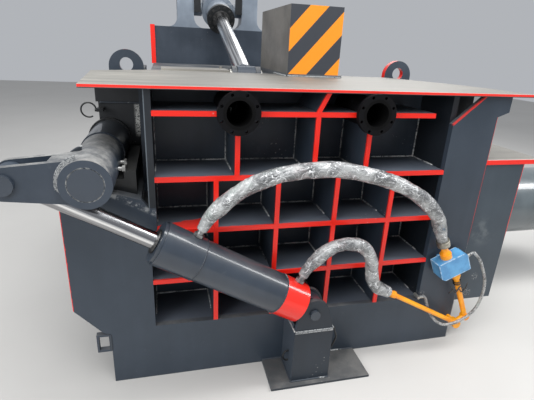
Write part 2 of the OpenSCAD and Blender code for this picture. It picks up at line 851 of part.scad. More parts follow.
module bearing_block() {
    block_r = shaft_x + 155;
    slope = (notch_mid[1] - notch_low[1]) / (notch_low[0] - notch_mid[0]);
    color([0.16, 0.17, 0.19]) difference() {
        upright([
            [notch_in_x, notch_top_z], notch_mid, [block_r, notch_mid[1] - slope * (block_r - notch_mid[0])],
            [block_r, shaft_z - 31], [block_r - 50, shaft_z - 31], [block_r - 50, shaft_z - 66],
            [notch_in_x, shaft_z - 66]
        ], 60, recess_y - 50);
        bar_y(shaft_x, shaft_z, housing_bore_r, 59, recess_y - 49);
    }
}

module grease_line() {
    loop_y = recess_y - 60;
    loop_z = (frame_h + shaft_z) / 2 - 4;
    color([0.2, 0.2, 0.2]) union() {
        translate([recess_l - 40, loop_y, loop_z]) rotate([90, 0, 0])
            rotate_extrude(angle = 300) translate([36, 0]) circle(r = 4, $fn = 16);
        translate([recess_l, loop_y, loop_z]) rotate([0, -90, 0]) cylinder(r = 8, h = 10);
        box(recess_l - 2, recess_l + 30, loop_y - 10, recess_y, loop_z - 8, loop_z + 8);
    }
}

module side_flap() {
    plate_x = shaft_x + 115;
    arm_t = 60;
    color(dark) difference() {
        union() {
            box(plate_x, plate_x + plate_t, flap_front, flap_back - 5, flap_sill_z + 10, frame_h - 26);
            for (y = [flap_front + 80, (flap_front + flap_back) / 2 - 38, flap_back - 140]) {
                bar_y(shaft_x, shaft_z, 85, y, y + arm_t);
                upright([
                    [shaft_x + 20, shaft_z + 60], [shaft_x + 60, shaft_z + 20], [plate_x, flap_sill_z + 10],
                    [plate_x, flap_sill_z + 200]
                ], y, y + arm_t);
            }
        }
        bar_y(shaft_x, shaft_z, shaft_d / 2 + 0.02, flap_front, flap_back);
    }
}

module rear_bearing() {
    color([0.2, 0.22, 0.25]) difference() {
        union() {
            bar_y(shaft_x, shaft_z, 95, flap_back + 5, flap_back + 65);
            box(shaft_x, left_outer, flap_back + 5, flap_back + 65, shaft_z - 90, shaft_z + 60);
        }
        bar_y(shaft_x, shaft_z, shaft_d / 2 + run, flap_back + 4, flap_back + 66);
    }
}

module cylinder_head() {
    color(dark) along_crank_cylinder() difference() {
        union() {
            translate([0, 0, head_start]) cylinder(r = cap_r, h = head_end - head_start - 14);
            translate([0, 0, head_end - 14]) cylinder(r = cap_r - 7, h = 14);
        }
        translate([0, 0, head_start - 1]) cylinder(d = tube_bore_d, h = 61);
        translate([0, 0, head_start]) cylinder(d = rod_d + 2 * run, h = 400);
        translate([0, 0, port_s[1]]) rotate([0, 90, 0]) cylinder(r = port_r, h = 200);
    }
}

module cylinder_tube() {
    color(dark) along_crank_cylinder() difference() {
        translate([0, 0, cap_end]) cylinder(d = tube_d, h = head_start - cap_end);
        translate([0, 0, cap_end - 1]) cylinder(d = tube_bore_d, h = head_start - cap_end + 2);
    }
}

module cylinder_cap() {
    color(red) along_crank_cylinder() difference() {
        union() {
            translate([0, 0, cap_start]) cylinder(r = cap_r, h = cap_end - cap_start);
            translate([0, eye_half, 0]) rotate([90, 0, 0]) cylinder(r = crank_eye_r, h = 2 * eye_half);
            translate([-crank_eye_r, -eye_half, 0]) cube([2 * crank_eye_r, 2 * eye_half, cap_start + 1]);
        }
        translate([0, eye_half + 1, 0]) rotate([90, 0, 0])
            cylinder(d = eye_pin_d + 2 * run, h = 2 * eye_half + 2);
        translate([0, 0, port_s[0]]) rotate([0, 90, 0]) cylinder(r = port_r, h = 200);
    }
}

module port_adapters() {
    stub_r = port_r - 0.1;
    color([0.6, 0.6, 0.58]) along_crank_cylinder() for (s = port_s)
        translate([cap_r - 20, 0, s]) rotate([0, 90, 0]) {
            cylinder(r = stub_r, h = 18);
            translate([0, 0, 20.5]) cylinder(r = 24, h = 14, $fn = 6);
            translate([0, 0, 18]) cylinder(r = stub_r, h = port_h - cap_r + 20 - 18 - seat);
        }
}

module cylinder_rod() {
    color([0.8, 0.8, 0.82]) along_crank_cylinder() union() {
        translate([0, 0, piston_s]) cylinder(d = rod_d, h = cyl_len - piston_s - 40);
        translate([0, 0, piston_s]) cylinder(d = tube_bore_d - 2 * run, h = 60);
        translate([0, eye_half, cyl_len]) rotate([90, 0, 0]) cylinder(r = crank_eye_r - 6, h = 2 * eye_half);
        translate([-38, -eye_half, cyl_len - 70]) cube([76, 2 * eye_half, 70]);
    }
}

// One of the two ears that hold the pedestal pin
module pedestal_ear(y0) {
    difference() {
        upright(concat(
            [[pedestal_l + 4, pedestal_top], [pedestal_r - 2, pedestal_top]],
            arc(pedestal_x, pedestal_z, pedestal_ear_r, 10, 170, 16)
        ), y0, y0 + ear_plate_t);
        bar_y(pedestal_x, pedestal_z, eye_pin_d / 2, y0 - 1, y0 + ear_plate_t + 1);
    }
}

module pedestal() {
    wall = 16;
    color(dark) union() {
        difference() {
            box(pedestal_l, pedestal_r, pedestal_front, 0, foot_t, pedestal_top);
            box(pedestal_l + wall, pedestal_r - wall, pedestal_front + wall, -wall,
                foot_t - 1, pedestal_top - wall);
        }
        pedestal_ear(pedestal_front);
        pedestal_ear(cheek_back);
        upright([
            [pedestal_l, pedestal_top], [pedestal_r - 40, pedestal_top], [pedestal_x + 10, pedestal_top + 8],
            [pedestal_x - 40, pedestal_top + 8], [pedestal_l, pedestal_top + 32]
        ], pedestal_front + ear_plate_t, cheek_back);
        box(pedestal_l - 110, pedestal_r + 222, pedestal_front - 30, 0, 0, foot_t);
    }
}

module pedestal_pin() {
    color([0.25, 0.27, 0.3]) bar_y(pedestal_x, pedestal_z, eye_pin_d / 2,
        pedestal_front - pin_head_t, cheek_back + ear_plate_t + pin_head_t);
}

module pedestal_handles() {
    r = pedestal_r;
    l = pedestal_l;
    right = [
        [r + seat, -100, 265], [r + 18, -100, 265], [r + 34, -100, 262], [r + 44, -100, 250],
        [r + 62, -100, 200], [r + 62, -100, 182], [r + 44, -100, 134], [r + 34, -100, 122],
        [r + 18, -100, 119], [r + seat, -100, 119]
    ];
    left = [
        [l - seat, -110, 149], [l - 13, -110, 149], [l - 23, -110, 140], [l - 30, -110, 118],
        [l - 25, -110, 100], [l - 13, -110, 91], [l - seat, -110, 91]
    ];
    color([0.08, 0.08, 0.09]) {
        swept_tube(right, 5, 8);
        swept_tube(left, 5, 8);
    }
}

module tie_loop() {
    low = wing_root_z - 100;
    color(dark) difference() {
        box(base_l - 66, base_l, 2, plate_t - 2, low, wing_root_z - 2);
        box(base_l - 56, base_l - 10, 1, plate_t - 1, low + 11, wing_root_z - 13);
    }
}

module upper_hose() {
    color([0.72, 0.72, 0.7]) swept_tube(upper_route, 33);
}

module lower_hose() {
    color([0.72, 0.72, 0.7]) swept_tube(lower_route, 27);
}

// Local frame of the valve block: Z along its ports, X along its length
module at_valve() {
    translate([valve_x, (valve_front + valve_back) / 2, valve_z]) rotate([0, -valve_tilt, 0]) children();
}

module valve_block() {
    d = valve_back - valve_front;
    k = valve_corner;
    color([0.3, 0.6, 0.85]) {
        at_valve() difference() {
            translate([-valve_w / 2, -d / 2, -valve_h / 2]) cube([valve_w, d, valve_h]);
            for (c = [-1, 1])
                translate([c * valve_w / 2, 0, c * valve_h / 2]) rotate([0, 45, 0])
                    cube([k, d + 2, k], center = true);
            translate([-15, 0, valve_h / 2 - 30]) cylinder(r = 14, h = 31);
            translate([15, 0, -valve_h / 2 - 1]) cylinder(r = 14, h = 31);
        }
        box(valve_x - 50, valve_x + 50, valve_back, 0, valve_z - 30, valve_z + 30);
    }
}

module valve_fittings() {
    color([1.0, 0.65, 0.1]) at_valve() {
        union() {
            translate([-15, 0, valve_h / 2]) cylinder(r = 30, h = 26);
            translate([-15, 0, valve_h / 2 + 26]) cylinder(r1 = 26, r2 = 19, h = 18);
            translate([-15, 0, valve_h / 2 + 44]) cylinder(r = 18, h = collar_top - 44);
        }
        union() {
            translate([15, 0, -valve_h / 2 - 34]) cylinder(r = 26, h = 34);
            translate([15, 0, -valve_h / 2 - 52]) cylinder(r = 20, h = 18);
        }
    }
}

module oil_pipes() {
    start = valve_point(15, -valve_h / 2 - 52);
    low = valve_point(15, -valve_h / 2 - 340);
    color([1.0, 0.65, 0.1]) union() {
        rod_between(start, low, 15);
        bar_y(low[0], low[2], 20, low[1] - 19, low[1] + 19);
        rod_between(low, tee, 16);
        rod_between(pipe_start, pipe_start + pipe_way, 13);
        bar_y(tee[0], tee[2], 24, tee[1] - 25, tee[1] + 22);
        rod_between(pipe_start, pipe_start + 27 * pipe_way / norm(pipe_way), 18);
        rod_between(tee, [tee[0], 0, tee[2]], 14);
    }
}

module pilot_hose() {
    color([0.6, 0.6, 0.58]) swept_tube(pilot_route, 7, 8);
}

module pilot_fittings() {
    color([0.8, 0.8, 0.78]) {
        at_valve() translate([valve_w / 2, 0, 0]) rotate([0, 90, 0]) cylinder(r = 9, h = pilot_start);
        union() {
            bar_y(pilot_end[0], pilot_end[2], 9, pilot_end[1] - 9, 0);
            bar_x(pilot_end[1], pilot_end[2], 9, pilot_end[0], pilot_end[0] + 26);
        }
    }
}

module ram_housing() {
    t = housing_plate_t;
    y0 = side_ram_y - side_ram_half_y - 42;
    y1 = side_ram_y + side_ram_half_y + 42;
    color(dark) difference() {
        union() {
            box(base_r, housing_r, 8, plate_t, housing_low, housing_high);
            box(right_outer, housing_r - t, y0, y1, side_ram_low - 42, side_ram_high + 42);
            box(housing_r - t, housing_r, plate_t, y1 + 40, housing_low, housing_high);
            box(post_r, housing_r - t, plate_t, y0, housing_high - t, housing_high);
        }
        box(right_outer - 1, housing_r - t + 1, y0 + 40, y1 - 40, side_ram_low - 2, side_ram_high + 2);
        bar_x(side_ram_y, side_ram_z, side_rod_r + 20, housing_r - t - 1, housing_r + 1);
    }
}

module housing_top() {
    color(light_steel)
        box(post_r, housing_r + 100, 0, side_ram_y + 320, housing_high, housing_high + housing_top_t);
}

module side_barrel() {
    l = side_stroke + 430;
    r = side_cyl_d / 2;
    color([0.3, 0.34, 0.4]) difference() {
        union() {
            bar_x(side_ram_y, side_ram_z, r + 30, housing_r, housing_r + 60);
            bar_x(side_ram_y, side_ram_z, r, housing_r + 60, housing_r + l);
            bar_x(side_ram_y, side_ram_z, side_rod_r + 19, housing_r - housing_plate_t + 1, housing_r);
        }
        bar_x(side_ram_y, side_ram_z, side_rod_r + run, housing_r - housing_plate_t, housing_r + 61);
        bar_x(side_ram_y, side_ram_z, r - side_cyl_wall, housing_r + 60, housing_r + l - 60);
    }
}

module side_ram() {
    x0 = window_right + 5;
    y0 = side_ram_y - side_ram_half_y;
    y1 = side_ram_y + side_ram_half_y;
    t = ram_skin;
    color([0.36, 0.4, 0.45]) union() {
        difference() {
            box(x0, x0 + side_ram_len, y0, y1, side_ram_low, side_ram_high);
            box(x0 + 2 * t, x0 + side_ram_len - t, y0 + t, y1 - t, side_ram_low + t, side_ram_high - t);
        }
        bar_x(side_ram_y, side_ram_z, side_rod_r, x0 + side_ram_len, side_piston_x);
        bar_x(side_ram_y, side_ram_z, side_cyl_d / 2 - side_cyl_wall - run,
            side_piston_x, side_piston_x + 100);
    }
}

module rear_barrel() {
    y0 = chamber_back + rear_plate_t;
    l = rear_stroke + 420;
    r = rear_cyl_d / 2;
    color([0.3, 0.34, 0.4]) difference() {
        union() {
            bar_y(rear_x, side_ram_z, r + 40, y0, y0 + 50);
            bar_y(rear_x, side_ram_z, r, y0 + 50, y0 + l);
            box(rear_x - r / 2, rear_x + r / 2, y0 + l - 240, y0 + l - 200, 0, side_ram_z - r + 20);
        }
        bar_y(rear_x, side_ram_z, rear_rod_r + run, y0 - 1, y0 + 81);
        bar_y(rear_x, side_ram_z, r - rear_cyl_wall, y0 + 80, y0 + l - 50);
    }
}

module rear_ram() {
    y1 = chamber_back - 5;
    x0 = window_left + 4;
    x1 = window_right - 4;
    y0 = y1 - rear_ram_t;
    t = ram_skin;
    color([0.36, 0.4, 0.45]) union() {
        difference() {
            box(x0, x1, y0, y1, floor_z + 2, press_top - 5);
            box(x0 + t, x1 - t, y0 + 2 * t, y1 - t, floor_z + 2 + t, press_top - 5 - t);
        }
        bar_y(rear_x, side_ram_z, rear_rod_r, y1, rear_piston_y);
        bar_y(rear_x, side_ram_z, rear_cyl_d / 2 - rear_cyl_wall - run, rear_piston_y, rear_piston_y + 100);
    }
}

front_plate();
rib_grid();
end_wall();
side_plates();
recess_wall();
ledge_plate();
chamber_walls();
chamber_floor();
base_skids();
rear_frame();
lifting_ears();
left_lock_flange();
right_lock_flange();
lid_plate();
lid_box();
lid_edge_strip();
striped_box();
lid_lugs();
lid_lug_pins();
lid_hinge_pins();
gantry_beam();
trunnion_columns();
trunnion_guards();
lid_barrel();
lid_gland();
lid_rod();
crank_shaft();
crank_arm();
crank_pin();
hub_bolts();
bearing_housing();
bearing_ring();
bearing_block();
grease_line();
side_flap();
rear_bearing();
cylinder_head();
cylinder_tube();
cylinder_cap();
port_adapters();
cylinder_rod();
pedestal();
pedestal_pin();
pedestal_handles();
tie_loop();
upper_hose();
lower_hose();
valve_block();
valve_fittings();
oil_pipes();
pilot_hose();
pilot_fittings();
ram_housing();
housing_top();
side_barrel();
side_ram();
rear_barrel();
rear_ram();
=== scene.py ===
# %% [markdown]
# A hydraulic baler crushes loose scrap metal into blocks. The machine here is already
# built as plain solids. This lesson dresses those solids: paint, bare steel, chrome,
# weld beads and hoses wrapped in clear film. Nothing is moved, only finished.

# %% Load the solids
import json
import math
import bpy
import numpy as np
from mathutils import Matrix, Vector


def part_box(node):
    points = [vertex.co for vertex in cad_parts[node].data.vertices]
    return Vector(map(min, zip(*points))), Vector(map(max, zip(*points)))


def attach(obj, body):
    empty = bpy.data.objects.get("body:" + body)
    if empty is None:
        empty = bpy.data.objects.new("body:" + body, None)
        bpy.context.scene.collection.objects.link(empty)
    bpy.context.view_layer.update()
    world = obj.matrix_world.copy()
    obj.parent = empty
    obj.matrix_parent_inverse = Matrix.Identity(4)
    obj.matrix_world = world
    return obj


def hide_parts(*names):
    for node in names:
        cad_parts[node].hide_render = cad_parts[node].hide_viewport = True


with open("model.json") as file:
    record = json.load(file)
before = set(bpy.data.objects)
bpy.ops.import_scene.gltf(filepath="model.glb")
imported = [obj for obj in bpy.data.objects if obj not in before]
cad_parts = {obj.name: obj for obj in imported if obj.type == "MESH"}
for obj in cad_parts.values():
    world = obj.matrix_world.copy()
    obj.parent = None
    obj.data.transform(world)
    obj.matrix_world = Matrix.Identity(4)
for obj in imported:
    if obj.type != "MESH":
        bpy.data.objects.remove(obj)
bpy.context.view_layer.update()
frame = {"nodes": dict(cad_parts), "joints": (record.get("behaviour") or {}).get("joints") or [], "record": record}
nodes = frame["nodes"]

# %% [markdown]
# The camera stands at eye level, a little left of the machine's middle, and looks down
# by twenty degrees. Three directions fix it: its right, its down and its forward. They
# come from the vanishing points of the machine's own straight edges.

# %% Camera
right = np.array([0.97132, -0.23332, 0.04579])
down = np.array([-0.03987, -0.34969, -0.93602])
forward = np.array([0.23440, 0.90735, -0.34896])
eye = np.array([-0.6596, -1.7224, 1.6])
focal_px, frame_width = 410.0, 534.0
cam_data = bpy.data.cameras.new("camera")
cam_data.sensor_width = 36.0
cam_data.lens = focal_px / frame_width * cam_data.sensor_width
camera = bpy.data.objects.new("camera", cam_data)
axes = np.stack([right, -down, -forward], axis=1)
camera.matrix_world = Matrix([[*axes[i], eye[i]] for i in range(3)] + [[0, 0, 0, 1]])
bpy.context.scene.collection.objects.link(camera)
bpy.context.scene.camera = camera
print("lens:", round(cam_data.lens, 2), "mm")

# %% [markdown]
# Many finishes follow a place on the machine: the seam round the shaft's end, the red
# cap of the turning cylinder, the painted eye of a rod. The joints and mounts of the
# solids hold most of those places, and the solids' own boxes hold the front frame's
# edges, so they are read from there and named once. The rest are the tilted valve
# block's place and the heights of the ribs, in metres.

# %% Places
joints = {joint["name"]: joint for joint in frame["joints"]}
mounts = {mount["name"]: mount for mount in frame["record"]["mounts"]}
shaft = np.array(joints["crank_turn"]["pos_m"], float)
pedestal_pin = np.array(joints["crank_cylinder_swing"]["pos_m"], float)
trunnion = np.array(joints["lid_cylinder_swing"]["pos_m"], float)
lid_way = np.array(joints["lid_cylinder_stroke"]["axis"], float)
lid_eye = np.array([-0.130, 1.060, 1.408])
lock_flanges = [mounts[name]["pos_m"] for name in ("left_lock_bolts", "right_lock_bolts")]

crank_length = 0.276
crank_pin = np.array([shaft[0] - crank_length, pedestal_pin[1], shaft[2]])
cylinder_way = (crank_pin - pedestal_pin) / np.linalg.norm(crank_pin - pedestal_pin)
cylinder_side = np.array([cylinder_way[2], 0.0, -cylinder_way[0]])

tilt = math.radians(24)
valve = np.array([0.813, -0.060, 0.546])
valve_half = (0.085, 0.039, 0.055)
valve_way = np.array([math.cos(tilt), 0, math.sin(tilt)])
valve_up = np.array([-math.sin(tilt), 0, math.cos(tilt)])

window_left, window_right = (corner.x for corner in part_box("rib_grid"))
upper_left = window_left + 0.030
wing_edge, post_edge = (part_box(name)[0].x for name in ("front_plate", "housing_top"))
housing_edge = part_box("ram_housing")[1].x - 0.001
sill, low_rib, middle_rib, high_rib = 0.305, 0.547, 0.800, 1.047
print("crank pin:", crank_pin, "cylinder direction:", cylinder_way)

# %% [markdown]
# Every finish below is worked out with a little arithmetic on numbers that vary over
# the surface. Writing that as Python expressions is easier to read than wiring nodes,
# so a small class stands for "a number in the shader" and adds a Math node whenever it
# is added, multiplied or divided. A second class is one material: it knows the place
# and the direction of the surface, and makes the noises and mixes that finishes share.

# %% Numbers in a shader
class Num:
    """A shader value. Python's operators on it add Math nodes to its finish."""

    def __init__(self, finish, socket):
        self.finish, self.socket = finish, socket

    def math(self, operation, *others):
        inputs = dict(enumerate((self, *others)))
        return Num(self.finish, self.finish.node("ShaderNodeMath", {"operation": operation}, inputs).outputs[0])

    def __add__(self, other):
        return self.math("ADD", other)

    def __sub__(self, other):
        return self.math("SUBTRACT", other)

    def __rsub__(self, other):
        return self * -1.0 + other

    def __mul__(self, other):
        return self.math("MULTIPLY", other)

    def __truediv__(self, other):
        return self.math("DIVIDE", other)

    def __abs__(self):
        return self.math("ABSOLUTE")

    __radd__, __rmul__ = __add__, __mul__

    def least(self, other):
        return self.math("MINIMUM", other)

    def most(self, other):
        return self.math("MAXIMUM", other)

    def ramp(self, low, high):
        """0 below low and 1 above high, eased in between; low may be above high."""
        inputs = {0: self, 1: low, 2: high, 3: 0.0, 4: 1.0}
        node = self.finish.node("ShaderNodeMapRange", {"interpolation_type": "SMOOTHSTEP"}, inputs)
        return Num(self.finish, node.outputs[0])


class Finish:
    """One material. node() adds any node: its type, its settings, its inputs."""

    def __init__(self, name):
        self.material = bpy.data.materials.new(name)
        self.material.use_nodes = True
        self.tree = self.material.node_tree
        self.shader = self.tree.nodes["Principled BSDF"]
        surface = self.node("ShaderNodeTexCoord")
        self.place = surface.outputs["Object"]
        self.x, self.y, self.z = self.split(self.place)
        self.nx, self.ny, self.nz = self.split(surface.outputs["Normal"])

    def node(self, kind, settings=(), inputs=()):
        made = self.tree.nodes.new(kind)
        for key, value in dict(settings).items():
            setattr(made, key, value)
        for key, value in dict(inputs).items():
            self.feed(made.inputs[key], value)
        return made

    def feed(self, socket, value):
        if isinstance(value, Num):
            self.tree.links.new(value.socket, socket)
        elif isinstance(value, bpy.types.NodeSocket):
            self.tree.links.new(value, socket)
        else:
            socket.default_value = value

    def split(self, vector):
        parts = self.node("ShaderNodeSeparateXYZ", {}, {0: vector})
        return [Num(self, out) for out in parts.outputs]

    def stretch(self, sx, sy, sz, place=None):
        """The place on the object, or another one, multiplied along each axis."""
        inputs = {"Vector": place or self.place, "Scale": (sx, sy, sz)}
        return self.node("ShaderNodeMapping", {}, inputs).outputs[0]

    def noise(self, scale, detail=4.0, rough=0.6, at=None, warp=0.0):
        inputs = {"Vector": at or self.place, "Scale": scale, "Detail": detail}
        inputs |= {"Roughness": rough, "Distortion": warp}
        return Num(self, self.node("ShaderNodeTexNoise", {}, inputs).outputs[0])

    def spots(self, scale):
        """Distance to the nearest of many scattered points, for spatter."""
        made = self.node("ShaderNodeTexVoronoi", {}, {"Vector": self.place, "Scale": scale})
        return Num(self, made.outputs["Distance"])

    def creases(self, scale, at):
        """Distance to the nearest border between scattered cells, 0 on the border itself."""
        settings = {"feature": "DISTANCE_TO_EDGE"}
        made = self.node("ShaderNodeTexVoronoi", settings, {"Vector": at, "Scale": scale})
        return Num(self, made.outputs["Distance"])

    def mix(self, amount, one, two):
        made = self.node("ShaderNodeMix", {"data_type": "RGBA"}, {"Factor": amount})
        for index, value in ((6, one), (7, two)):
            self.feed(made.inputs[index], (*value, 1.0) if isinstance(value, tuple) else value)
        return made.outputs[2]

    def bump(self, height, strength, depth):
        inputs = {"Strength": strength, "Distance": depth, "Height": height}
        return self.node("ShaderNodeBump", {}, inputs).outputs[0]

    def close(self, color, rough, metal=0.0, coat=0.0, normal=None):
        """Feeds the shader and hands back the finished material."""
        color = (*color, 1.0) if isinstance(color, tuple) else color
        sockets = {"Base Color": color, "Roughness": rough, "Metallic": metal, "Coat Weight": coat}
        if normal is not None:
            sockets["Normal"] = normal
        for name, value in sockets.items():
            self.feed(self.shader.inputs[name], value)
        return self.material


def dress(names, material):
    """Puts a finish on the named solids, in place of whatever they wore."""
    for name in names:
        slots = nodes[name].data.materials
        if not len(slots):
            slots.append(material)
        for i in range(len(slots)):
            slots[i] = material


# %% [markdown]
# Most of the machine is sprayed with one blue-grey satin paint. Up close it is never
# one colour: the coat is thicker and thinner, dust lies on whatever faces up, scuffs
# show lighter, and weld spatter sits on it as pale specks. One function mixes all that.
# Where a solid has red edges, it brings a mask for them, and the red is worn in spots.

# %% Machine paint
GREY_DARK, GREY_PALE = (0.023, 0.033, 0.048), (0.040, 0.053, 0.073)
RED, DUST, CHALK = (0.82, 0.020, 0.010), (0.27, 0.26, 0.24), (0.52, 0.52, 0.50)
SCUFFED, SEAM_WHITE = (0.11, 0.125, 0.14), (0.36, 0.37, 0.37)


def machine_paint(name, red=None, tint=(GREY_DARK, GREY_PALE), dust=1.0, specks=0.0, gloss=0.0, coat=0.0,
                  patches=()):
    """Paint between two tints. red gives a mask for red edges; a patch is a mask and the colour it brings."""
    f = Finish(name)
    cloud = f.noise(2.2, 5.0, 0.62)
    fine = f.noise(38.0, 4.0, 0.6)
    runs = f.noise(6.0, 3.0, 0.55, f.stretch(3.0, 3.0, 0.35))
    color = f.mix((cloud * 0.8 + runs * 0.2).ramp(0.36, 0.64), *tint)
    for mask, patch_color in patches:
        color = f.mix(mask(f), color, patch_color)
    scuff = f.noise(11.0, 6.0, 0.72, warp=0.4).ramp(0.60, 0.74) * fine.ramp(0.45, 0.6) * 0.35
    color = f.mix(scuff, color, SCUFFED)
    rough = 0.30 - gloss + cloud * 0.22 + scuff * 0.4
    if red is not None:
        wander = (f.noise(30.0, 3.0, 0.5) - 0.5) * 0.010
        mask = red(f, wander)
        worn = f.noise(55.0, 5.0, 0.7).ramp(0.70, 0.76)
        color = f.mix(mask * (1.0 - worn * 0.5), color, RED)
        rough = rough * (1.0 - mask * 0.25)
    thick = f.noise(4.5, 6.0, 0.7).ramp(0.40, 0.68)
    settled = f.nz.ramp(0.35, 0.9) * (0.30 + thick * 0.70) * (0.55 * dust)
    color = f.mix(settled, color, DUST)
    rough = rough + settled * 0.45
    if specks:
        spatter = f.spots(46.0).ramp(0.20, 0.10) * f.noise(3.2, 3.0, 0.6).ramp(0.56, 0.70) * specks
        color = f.mix(spatter, color, CHALK)
    normal = f.bump(fine * 0.5 + f.noise(150.0, 2.0, 0.5) * 0.5, 0.10, 0.002)
    return f.close(color, rough, coat=coat, normal=normal)


print("paint tints:", GREY_DARK, GREY_PALE)

# %% [markdown]
# The cut edges of the front are brushed red by hand, so the red wanders a little round
# each edge. A mask is a number from 0 to 1 over the surface. Eased steps in x, y and z
# are multiplied to say where red, a chalk smudge or a dusty seam lies.

# %% Masks
def between(value, low, high, soft=0.004):
    """1 from low to high, eased to 0 across each limit over twice soft."""
    return value.ramp(low - soft, low + soft) * value.ramp(high + soft, high - soft)


def along(f, start, way):
    """Distance from start along a direction: (x - x0) wx + (y - y0) wy + (z - z0) wz."""
    return (f.x - start[0]) * way[0] + (f.y - start[1]) * way[1] + (f.z - start[2]) * way[2]


def ring_distance(f, x, z):
    """How far a point of the front lies from the axis at x, z."""
    dx, dz = f.x - x, f.z - z
    return (dx * dx + dz * dz).math("SQRT")


def right_edge_red(f, edge, wander):
    """Red on a plate's right edge, a little way round its corner."""
    return (f.x + wander * 0.3).ramp(edge - 0.0025, edge - 0.0010)


def rib_red(f, wander):
    """The ribs' front edges, and one shelf at the left whose red runs in deeper towards the right."""
    front = (f.y + wander).ramp(0.012, 0.008)
    depth = f.y + wander * 3.0 - (f.x - window_left) * 0.30
    shelf = between(f.x, -0.75, -0.45) * between(f.z, 0.805, 0.82) * depth.ramp(0.055, 0.045)
    return front.most(shelf)


def plate_red(f, wander):
    """Red on the wing's left edge, on the cut corner of the post and along the post's right edge."""
    wing = (f.x + wander).ramp(wing_edge + 0.004, wing_edge + 0.0015)
    above_cut = f.z - 1.290 - (f.x - window_right) * 0.887 + wander * 0.5
    corner = between(f.x, 0.70, 0.86) * between(f.z, 1.285, 1.43) * above_cut.ramp(-0.011, -0.007)
    post = right_edge_red(f, post_edge, wander) * f.z.ramp(0.60, 0.75) * f.z.ramp(1.328, 1.326)
    return wing.most(corner * f.y.ramp(0.014, 0.009) * 0.75).most(post * 0.7)


def housing_red(f, wander):
    """Red on the side housing's right edge, from about 0.66 m above the floor up."""
    return right_edge_red(f, housing_edge, wander) * f.z.ramp(0.60, 0.72) * f.y.ramp(0.045, 0.040)


def gantry_red(f, wander):
    """The gantry's left end plate, on its front side."""
    return (f.x + wander * 0.5).ramp(-0.714, -0.718) * f.y.ramp(2.56, 2.54)


def ear_red(f, _):
    """The ears' rims above the lid: faces that look neither forwards, backwards nor to the right."""
    return abs(f.ny).ramp(0.5, 0.4) * f.z.ramp(1.36, 1.38) * f.nx.ramp(0.2, -0.1)


def cap_red(f, _):
    """The cap from 78 mm beyond the pedestal pin on; the eye before that stays grey."""
    return along(f, pedestal_pin, cylinder_way).ramp(0.0765, 0.0785)


def chalk_mark(x, z, size):
    """A smudge of chalk specks on a front face: a noise cut off outside a circle."""
    def mask(f):
        return ring_distance(f, x, z).ramp(size, size * 0.7) * f.noise(120.0, 4.0, 0.7).ramp(0.545, 0.60) * 0.6

    return mask, CHALK


def shaft_line(f):
    """The thin pale seam round the shaft's end, broken by specks."""
    seam = between(ring_distance(f, shaft[0], shaft[2]), 0.0623, 0.0663, 0.0005)
    return seam * f.y.ramp(-0.214, -0.218) * f.noise(60.0, 3.0).ramp(0.40, 0.60) * 0.9


def notch_dust(f):
    """Weld dust along the slanting edge of the notch: z = 0.974 - 0.53 (x + 0.863)."""
    off = abs(f.z - 0.974 + (f.x + 0.863) * 0.53)
    return off.ramp(0.020, 0.004) * between(f.x, -0.90, -0.705) * f.noise(38.0, 5.0, 0.7).ramp(0.46, 0.60) * 0.8


def post_seam(f):
    """The pale lower part of the post's right edge."""
    return f.x.ramp(post_edge - 0.0015, post_edge) * f.z.ramp(0.66, 0.60)


def housing_cloud(f):
    """A paler, rubbed cloud on the housing's face."""
    return ring_distance(f, 1.035, 0.700).ramp(0.115, 0.03) * f.noise(9.0, 4.0, 0.6).ramp(0.45, 0.62) * 0.5


def recess_chalk(f):
    """A column of fine chalk dust on the recess wall."""
    column = between(f.x, -0.812, -0.786, 0.008) * between(f.z, 1.115, 1.285, 0.008)
    return column * f.noise(110.0, 4.0, 0.7).ramp(0.44, 0.50)


def flange_face(f):
    """Everything further than 68 mm from both lock flanges' axes."""
    left, right = (ring_distance(f, flange[0], flange[2]) for flange in lock_flanges)
    return left.least(right).ramp(0.066, 0.070)


# %% [markdown]
# Now each solid gets its paint. All start with the plain one, and those that look
# different in tint, dust, gloss or red are dressed again. The cylinder group wears a
# clear coat, since it was sprayed glossier than the frame.

# %% Painted solids
dress(nodes, machine_paint("machine_paint", specks=0.6))
# The ribs' upward faces near the front get a paler, bluer patch: painted skylight on their tops.
dress(["rib_grid"], machine_paint(
    "rib_paint", red=rib_red, specks=0.5, dust=0.2,
    patches=[(lambda f: f.nz.ramp(0.5, 0.9) * f.y.ramp(0.30, 0.02), (0.098, 0.118, 0.152))]))
dress(["end_wall"], machine_paint("wall_paint", specks=0.5, dust=0.3))
dress(["front_plate"], machine_paint(
    "front_plate_paint", red=plate_red, tint=((0.028, 0.040, 0.057), (0.038, 0.052, 0.072)),
    patches=[(post_seam, SEAM_WHITE), (notch_dust, SEAM_WHITE), chalk_mark(0.715, 0.332, 0.022)]))
dress(["ram_housing"], machine_paint(
    "housing_paint", red=housing_red, dust=0.4, tint=((0.036, 0.051, 0.067), (0.048, 0.066, 0.085)),
    patches=[(housing_cloud, (0.15, 0.17, 0.18)),
             chalk_mark(1.057, 0.407, 0.026), chalk_mark(1.030, 0.300, 0.030)]))
dress(["gantry_beam"], machine_paint("gantry_paint", red=gantry_red, specks=0.3))
dress(["lifting_ears"], machine_paint("ear_paint", red=ear_red))
# The side plates' near-black tint is painted shade, and the pale line on the left part of their front edge is a
# painted highlight.
dress(["side_plates"], machine_paint(
    "side_plate_paint", specks=0.4, dust=0.3, tint=((0.008, 0.011, 0.015), (0.014, 0.018, 0.024)),
    patches=[(lambda f: f.y.ramp(0.004, 0.001) * f.x.ramp(-0.7365, -0.7385), (0.10, 0.12, 0.14))]))
# The recess wall's dark tint and the near-black strip below its chalk column are painted shade.
dress(["recess_wall"], machine_paint(
    "recess_paint", specks=0.3, tint=((0.013, 0.014, 0.016), (0.022, 0.024, 0.027)),
    patches=[(lambda f: between(f.x, -0.789, -0.771) * between(f.z, 0.990, 1.083), (0.004, 0.004, 0.005)),
             (recess_chalk, CHALK)]))
